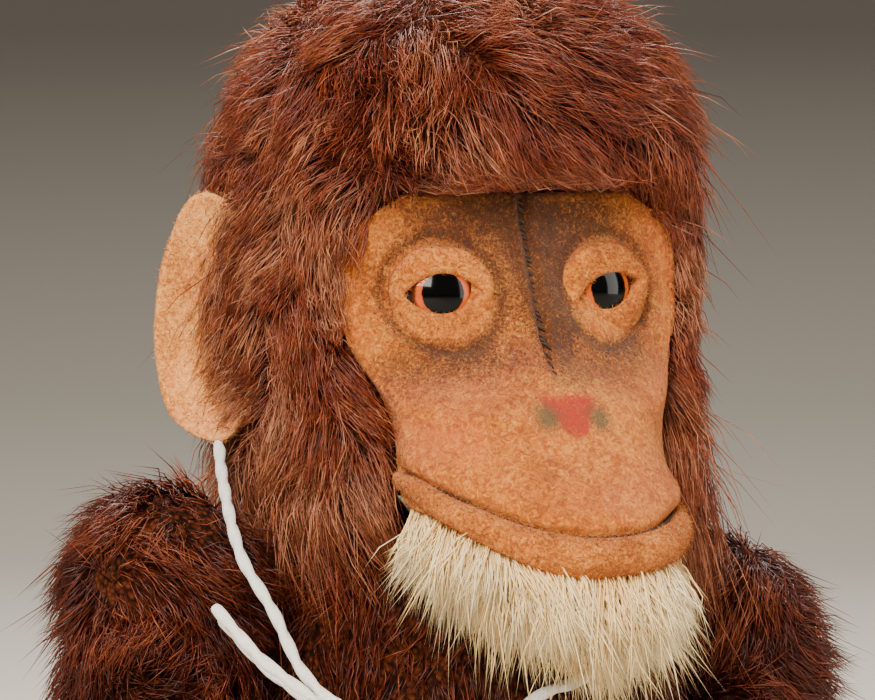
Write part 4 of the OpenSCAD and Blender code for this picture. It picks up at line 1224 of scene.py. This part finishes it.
def torso_pile():
    """The body: cloth turned about the neck's axis by TORSO_LEVELS, with darker pile on it."""
    z = np.interp(np.linspace(0, 1, 60), np.linspace(0, 1, len(TORSO_LEVELS)), TORSO_LEVELS[:, 0])
    r = np.interp(z, TORSO_LEVELS[:, 0], TORSO_LEVELS[:, 1])
    angle = np.linspace(0, 2 * np.pi, 96, endpoint=False)
    rows = np.stack([r[:, None] * np.sin(angle), -r[:, None] * np.cos(angle),
                     np.broadcast_to(z[:, None], (60, 96))], 2)
    points, walls, caps = closed_rows(rows)
    cloth = new_mesh("torso_cloth", points, walls, caps)
    tidy_normals(cloth)
    finish_piece(cloth, BODY_CLOTH, "torso", "body_mohair", "torso_skin", "torso_stuffing")

    def hairy(c, n):
        clear_hips = np.hypot(c[:, 1], c[:, 2] - 14.3) > 12
        strip = ~((np.abs(c[:, 0]) < 5) & (c[:, 1] < -20) & (np.abs(c[:, 2] - 38.6) < 2.5))
        grommet = ~((np.hypot(c[:, 0], c[:, 2] - 48) < 7) & (c[:, 1] > 20))
        return (c[:, 2] > 5) * (clear_hips | (np.abs(c[:, 0]) < 20)) * strip * grommet + 1e-9

    root, out = scatter(points, walls, 16500, 61, hairy)
    out = np.where((out * (root * [1, 1, 0])).sum(1, keepdims=True) < 0, -out, out)
    comb = np.array([0, 0, -1.0]) + drift(root, 16, 62) * 0.55
    comb = unit(comb - out * (comb * out).sum(1, keepdims=True) * 0.9)
    length = 7.5 * (0.55 + 0.45 * smoothstep(root[:, 2], 4, 18))
    line = strand_paths(root, out, comb, length, 17000, 63, lift=0.38, messy=0.3, droop=0.2, clump=6,
                        frizz=0.75, rings=2)
    line[..., 2] = np.maximum(line[..., 2], 0.4)
    keep = off_the_cord(line)
    pile("torso_hair", line[keep], 0.2, lock_tone(root[keep], 64, 0.42), 65, BODY_PILE, "torso",
         "body_mohair", per_piece=19000)


torso_pile()


def limb_form(route, radii, steps=14, sides=48):
    """A stuffed limb: rings along a smooth path with rounded ends."""
    path = catmull(route, steps)
    r = catmull(np.column_stack([radii, radii, radii]), steps)[:, 0]
    tangent0, tangent1 = unit(path[0] - path[1]), unit(path[-1] - path[-2])
    a = np.linspace(np.pi / 2 * 0.94, 0, 8)[:-1]
    head = path[0] + np.sin(a)[:, None] * r[0] * tangent0
    tail = path[-1] + np.sin(a[::-1])[:, None] * r[-1] * tangent1
    full = np.concatenate([head, path, tail])
    radius = np.concatenate([np.cos(a) * r[0], r, np.cos(a[::-1]) * r[-1]])
    return swept(full, radius, sides)


def limb(name, route, radii, body, replaced, count, seed, length, comb_bias, keep_far=None, cord=False):
    """An arm or a leg: a stuffed cloth form with pile that flows along it."""
    rows = limb_form(route, radii)
    points, walls, caps = closed_rows(rows)
    cloth = new_mesh(name + "_cloth", points, walls, caps)
    tidy_normals(cloth)
    finish_piece(cloth, BODY_CLOTH, body, "body_mohair", replaced)
    root, out = scatter(points, walls, count, seed, keep_far)
    middle = np.asarray(route, float)
    dense = catmull(middle, 10)
    centre = dense[nearest(root, dense)]
    out = np.where((out * (root - centre)).sum(1, keepdims=True) < 0, -out, out)
    flow = unit(np.gradient(dense, axis=0))[nearest(root, dense)]
    comb = flow * 0.7 + np.array(comb_bias) + drift(root, 13, seed + 1) * 0.75
    comb = unit(comb - out * (comb * out).sum(1, keepdims=True) * 0.9)
    line = strand_paths(root, out, comb, length, 4800, seed + 2, lift=0.46, messy=0.3, droop=0.12, clump=5.5,
                        pull=0.5, frizz=0.75, rings=2)
    line[..., 2] = np.maximum(line[..., 2], 0.4)
    if cord:
        keep = off_the_cord(line)
        line, root = line[keep], root[keep]
    pile(name + "_hair", line, 0.2, lock_tone(root, seed + 3, 0.45), seed + 4, BODY_PILE, body,
         "body_mohair", per_piece=19000)


HAND = np.array([30.0, -38, 68])
TORSO_RADIUS = 27

for side, sign in (("right", -1), ("left", 1)):
    flip = np.array([sign, 1, 1])

    def from_hand(c, n, flip=flip):
        near_hand = np.linalg.norm(c - HAND * flip, axis=1) < 8.3
        inside = np.hypot(c[:, 0], c[:, 1]) < TORSO_RADIUS
        return np.where(near_hand | inside, 0.0, 1.0) + 1e-9

    shoulder_point = (42.5, 0, 101.5) if sign < 0 else (39.5, 0, 93)
    limb(f"{side}_arm", np.array([shoulder_point, (43.5, 1, 86), (46, 3, 70), (44, -6, 62.5), (38, -20, 63),
                                  (34.5, -30, 64.5)]) * flip,
         [11.5 if sign < 0 else 10.2, 10.8, 10, 9.6, 8.8, 8.0], f"{side}_arm", f"{side}_arm_plush", 16000,
         100 + 10 * sign, 8.0, (0, 0, 0.1), from_hand, cord=sign < 0)

    def from_foot(c, n, flip=flip):
        return np.where((c[:, 1] < -64) | (c[:, 2] < 1.2), 0.0, 1.0) + 1e-9

    limb(f"{side}_leg", np.array([(41, 0, 14.3), (42, -14, 14), (43, -30, 13.6), (43, -44, 13.4),
                                  (42.3, -54, 12.8), (42, -61.5, 12.6)]) * flip,
         [12.6, 12.8, 12.4, 11.6, 10.4, 9.8], f"{side}_leg", f"{side}_leg_plush", 7500,
         200 + 10 * sign, 6.0, (0, 0, 0.0), from_foot)


FOOT_X = 42
FOOT_HALF_WIDTH = 10.8
STICK_TIP = np.array([9.0, -57.5, 68.4])
WRIST = np.array([34.8, -30, 64])


def felt_foot(side, sign):
    """A felt foot: a tall pad with rounded edges and creases between its toes."""
    y = np.array([-66.0, -66.2, -67.2, -69.5, -72.5, -75.0, -76.2, -76.6])
    grow = np.array([0.6, 0.86, 0.97, 1.0, 1.0, 0.96, 0.84, 0.5])
    theta = np.linspace(0, 2 * np.pi, 96, endpoint=False)
    across = FOOT_HALF_WIDTH * np.cos(theta)
    tall = 8.7 * np.sign(np.sin(theta)) + FOOT_HALF_WIDTH * np.sin(theta)
    fine = np.linspace(0, len(y) - 1, 22)
    grow = np.interp(fine, np.arange(len(y)), grow)[:, None]
    y = np.interp(fine, np.arange(len(y)), y)[:, None]
    rows = np.stack([FOOT_X * sign + across * grow, y + 0 * across,
                     20.3 + tall * (0.25 + 0.75 * grow)], 2)
    toes = np.exp(-(((rows[..., 0] - FOOT_X * sign + FOOT_HALF_WIDTH) % 5.4 - 2.7) / 0.6) ** 2)
    toes = toes * smoothstep(rows[..., 2], 28, 33)
    rows[..., 1] += 0.7 * toes * (rows[..., 1] < -72)
    rows[..., 2] -= 0.6 * toes * (rows[..., 2] > 34)
    rows += drift(rows.reshape(-1, 3), 10, 71).reshape(rows.shape) * 0.2
    rows[..., 2] = np.maximum(rows[..., 2], 0.6)
    finish_piece(closed_piece(side + "_sole", rows), FELT, side + "_leg", "felt", side + "_foot")


def felt_mitten(side, sign):
    """A felt hand closed round its stick: a rounded fist with knuckle ridges along its outer side."""
    flip = np.array([sign, 1, 1])
    hand, tip, wrist = HAND * flip, STICK_TIP * flip, WRIST * flip
    along = unit(tip - hand)
    back = unit((wrist - hand) - along * ((wrist - hand) @ along))
    third = np.cross(along, back)
    lat = np.linspace(-np.pi / 2 * 0.97, np.pi / 2 * 0.97, 60)
    theta = np.linspace(0, 2 * np.pi, 72, endpoint=False)
    w = np.sin(lat)[:, None] * 7.4 * np.ones(72)
    r = np.cos(lat)[:, None] ** 0.75 * 6.9 * np.ones(72)
    outer_side = np.clip(0.4 - np.cos(theta)[None], 0, 1)
    knuckles = 0.5 * np.cos(w * 2 * np.pi / 3.2) * outer_side * np.cos(lat)[:, None]
    r = r * (1 + 0.06 * np.cos(2 * theta)[None]) + knuckles
    rows = (hand + w[..., None] * along + r[..., None] * (np.cos(theta)[None, :, None] * back
                                                         + np.sin(theta)[None, :, None] * third))
    finish_piece(closed_piece(side + "_mitten", rows), FELT, side + "_arm", "felt", side + "_hand")


for side, sign in (("right", -1), ("left", 1)):
    felt_foot(side, sign)
    felt_mitten(side, sign)


# ---------- finishes of the CAD pieces ----------

SLOT_FINISH = {
    "steel": metal("plain_steel", "7c7e82", "b4b6b8", 0.38),
    "brass": metal("brass", "8c6a30", "c49c54", 0.34),
    "drum_tin": drum_enamel(),
    "drum_skin": drum_hide(),
    "birch": birch_wood(),
    "card": plain_stuff("fibre_card", "5c4630", "8a6c4c", 1.5, 0.85),
    "stuffing": plain_stuff("stuffing", "a89a7c", "cfc4ae", 3.0, 0.95, 0.8),
    "cotton": COTTON, "felt": FELT, "eye_glass": GLASS, "head_mohair": HEAD_CLOTH,
    "body_mohair": BODY_CLOTH, "beard_mohair": BEARD_PILE,
}
for row in frame["record"]["subparts"]:
    piece = frame["nodes"][row["node"]]
    paint(piece, SLOT_FINISH[row["material_slot"]])
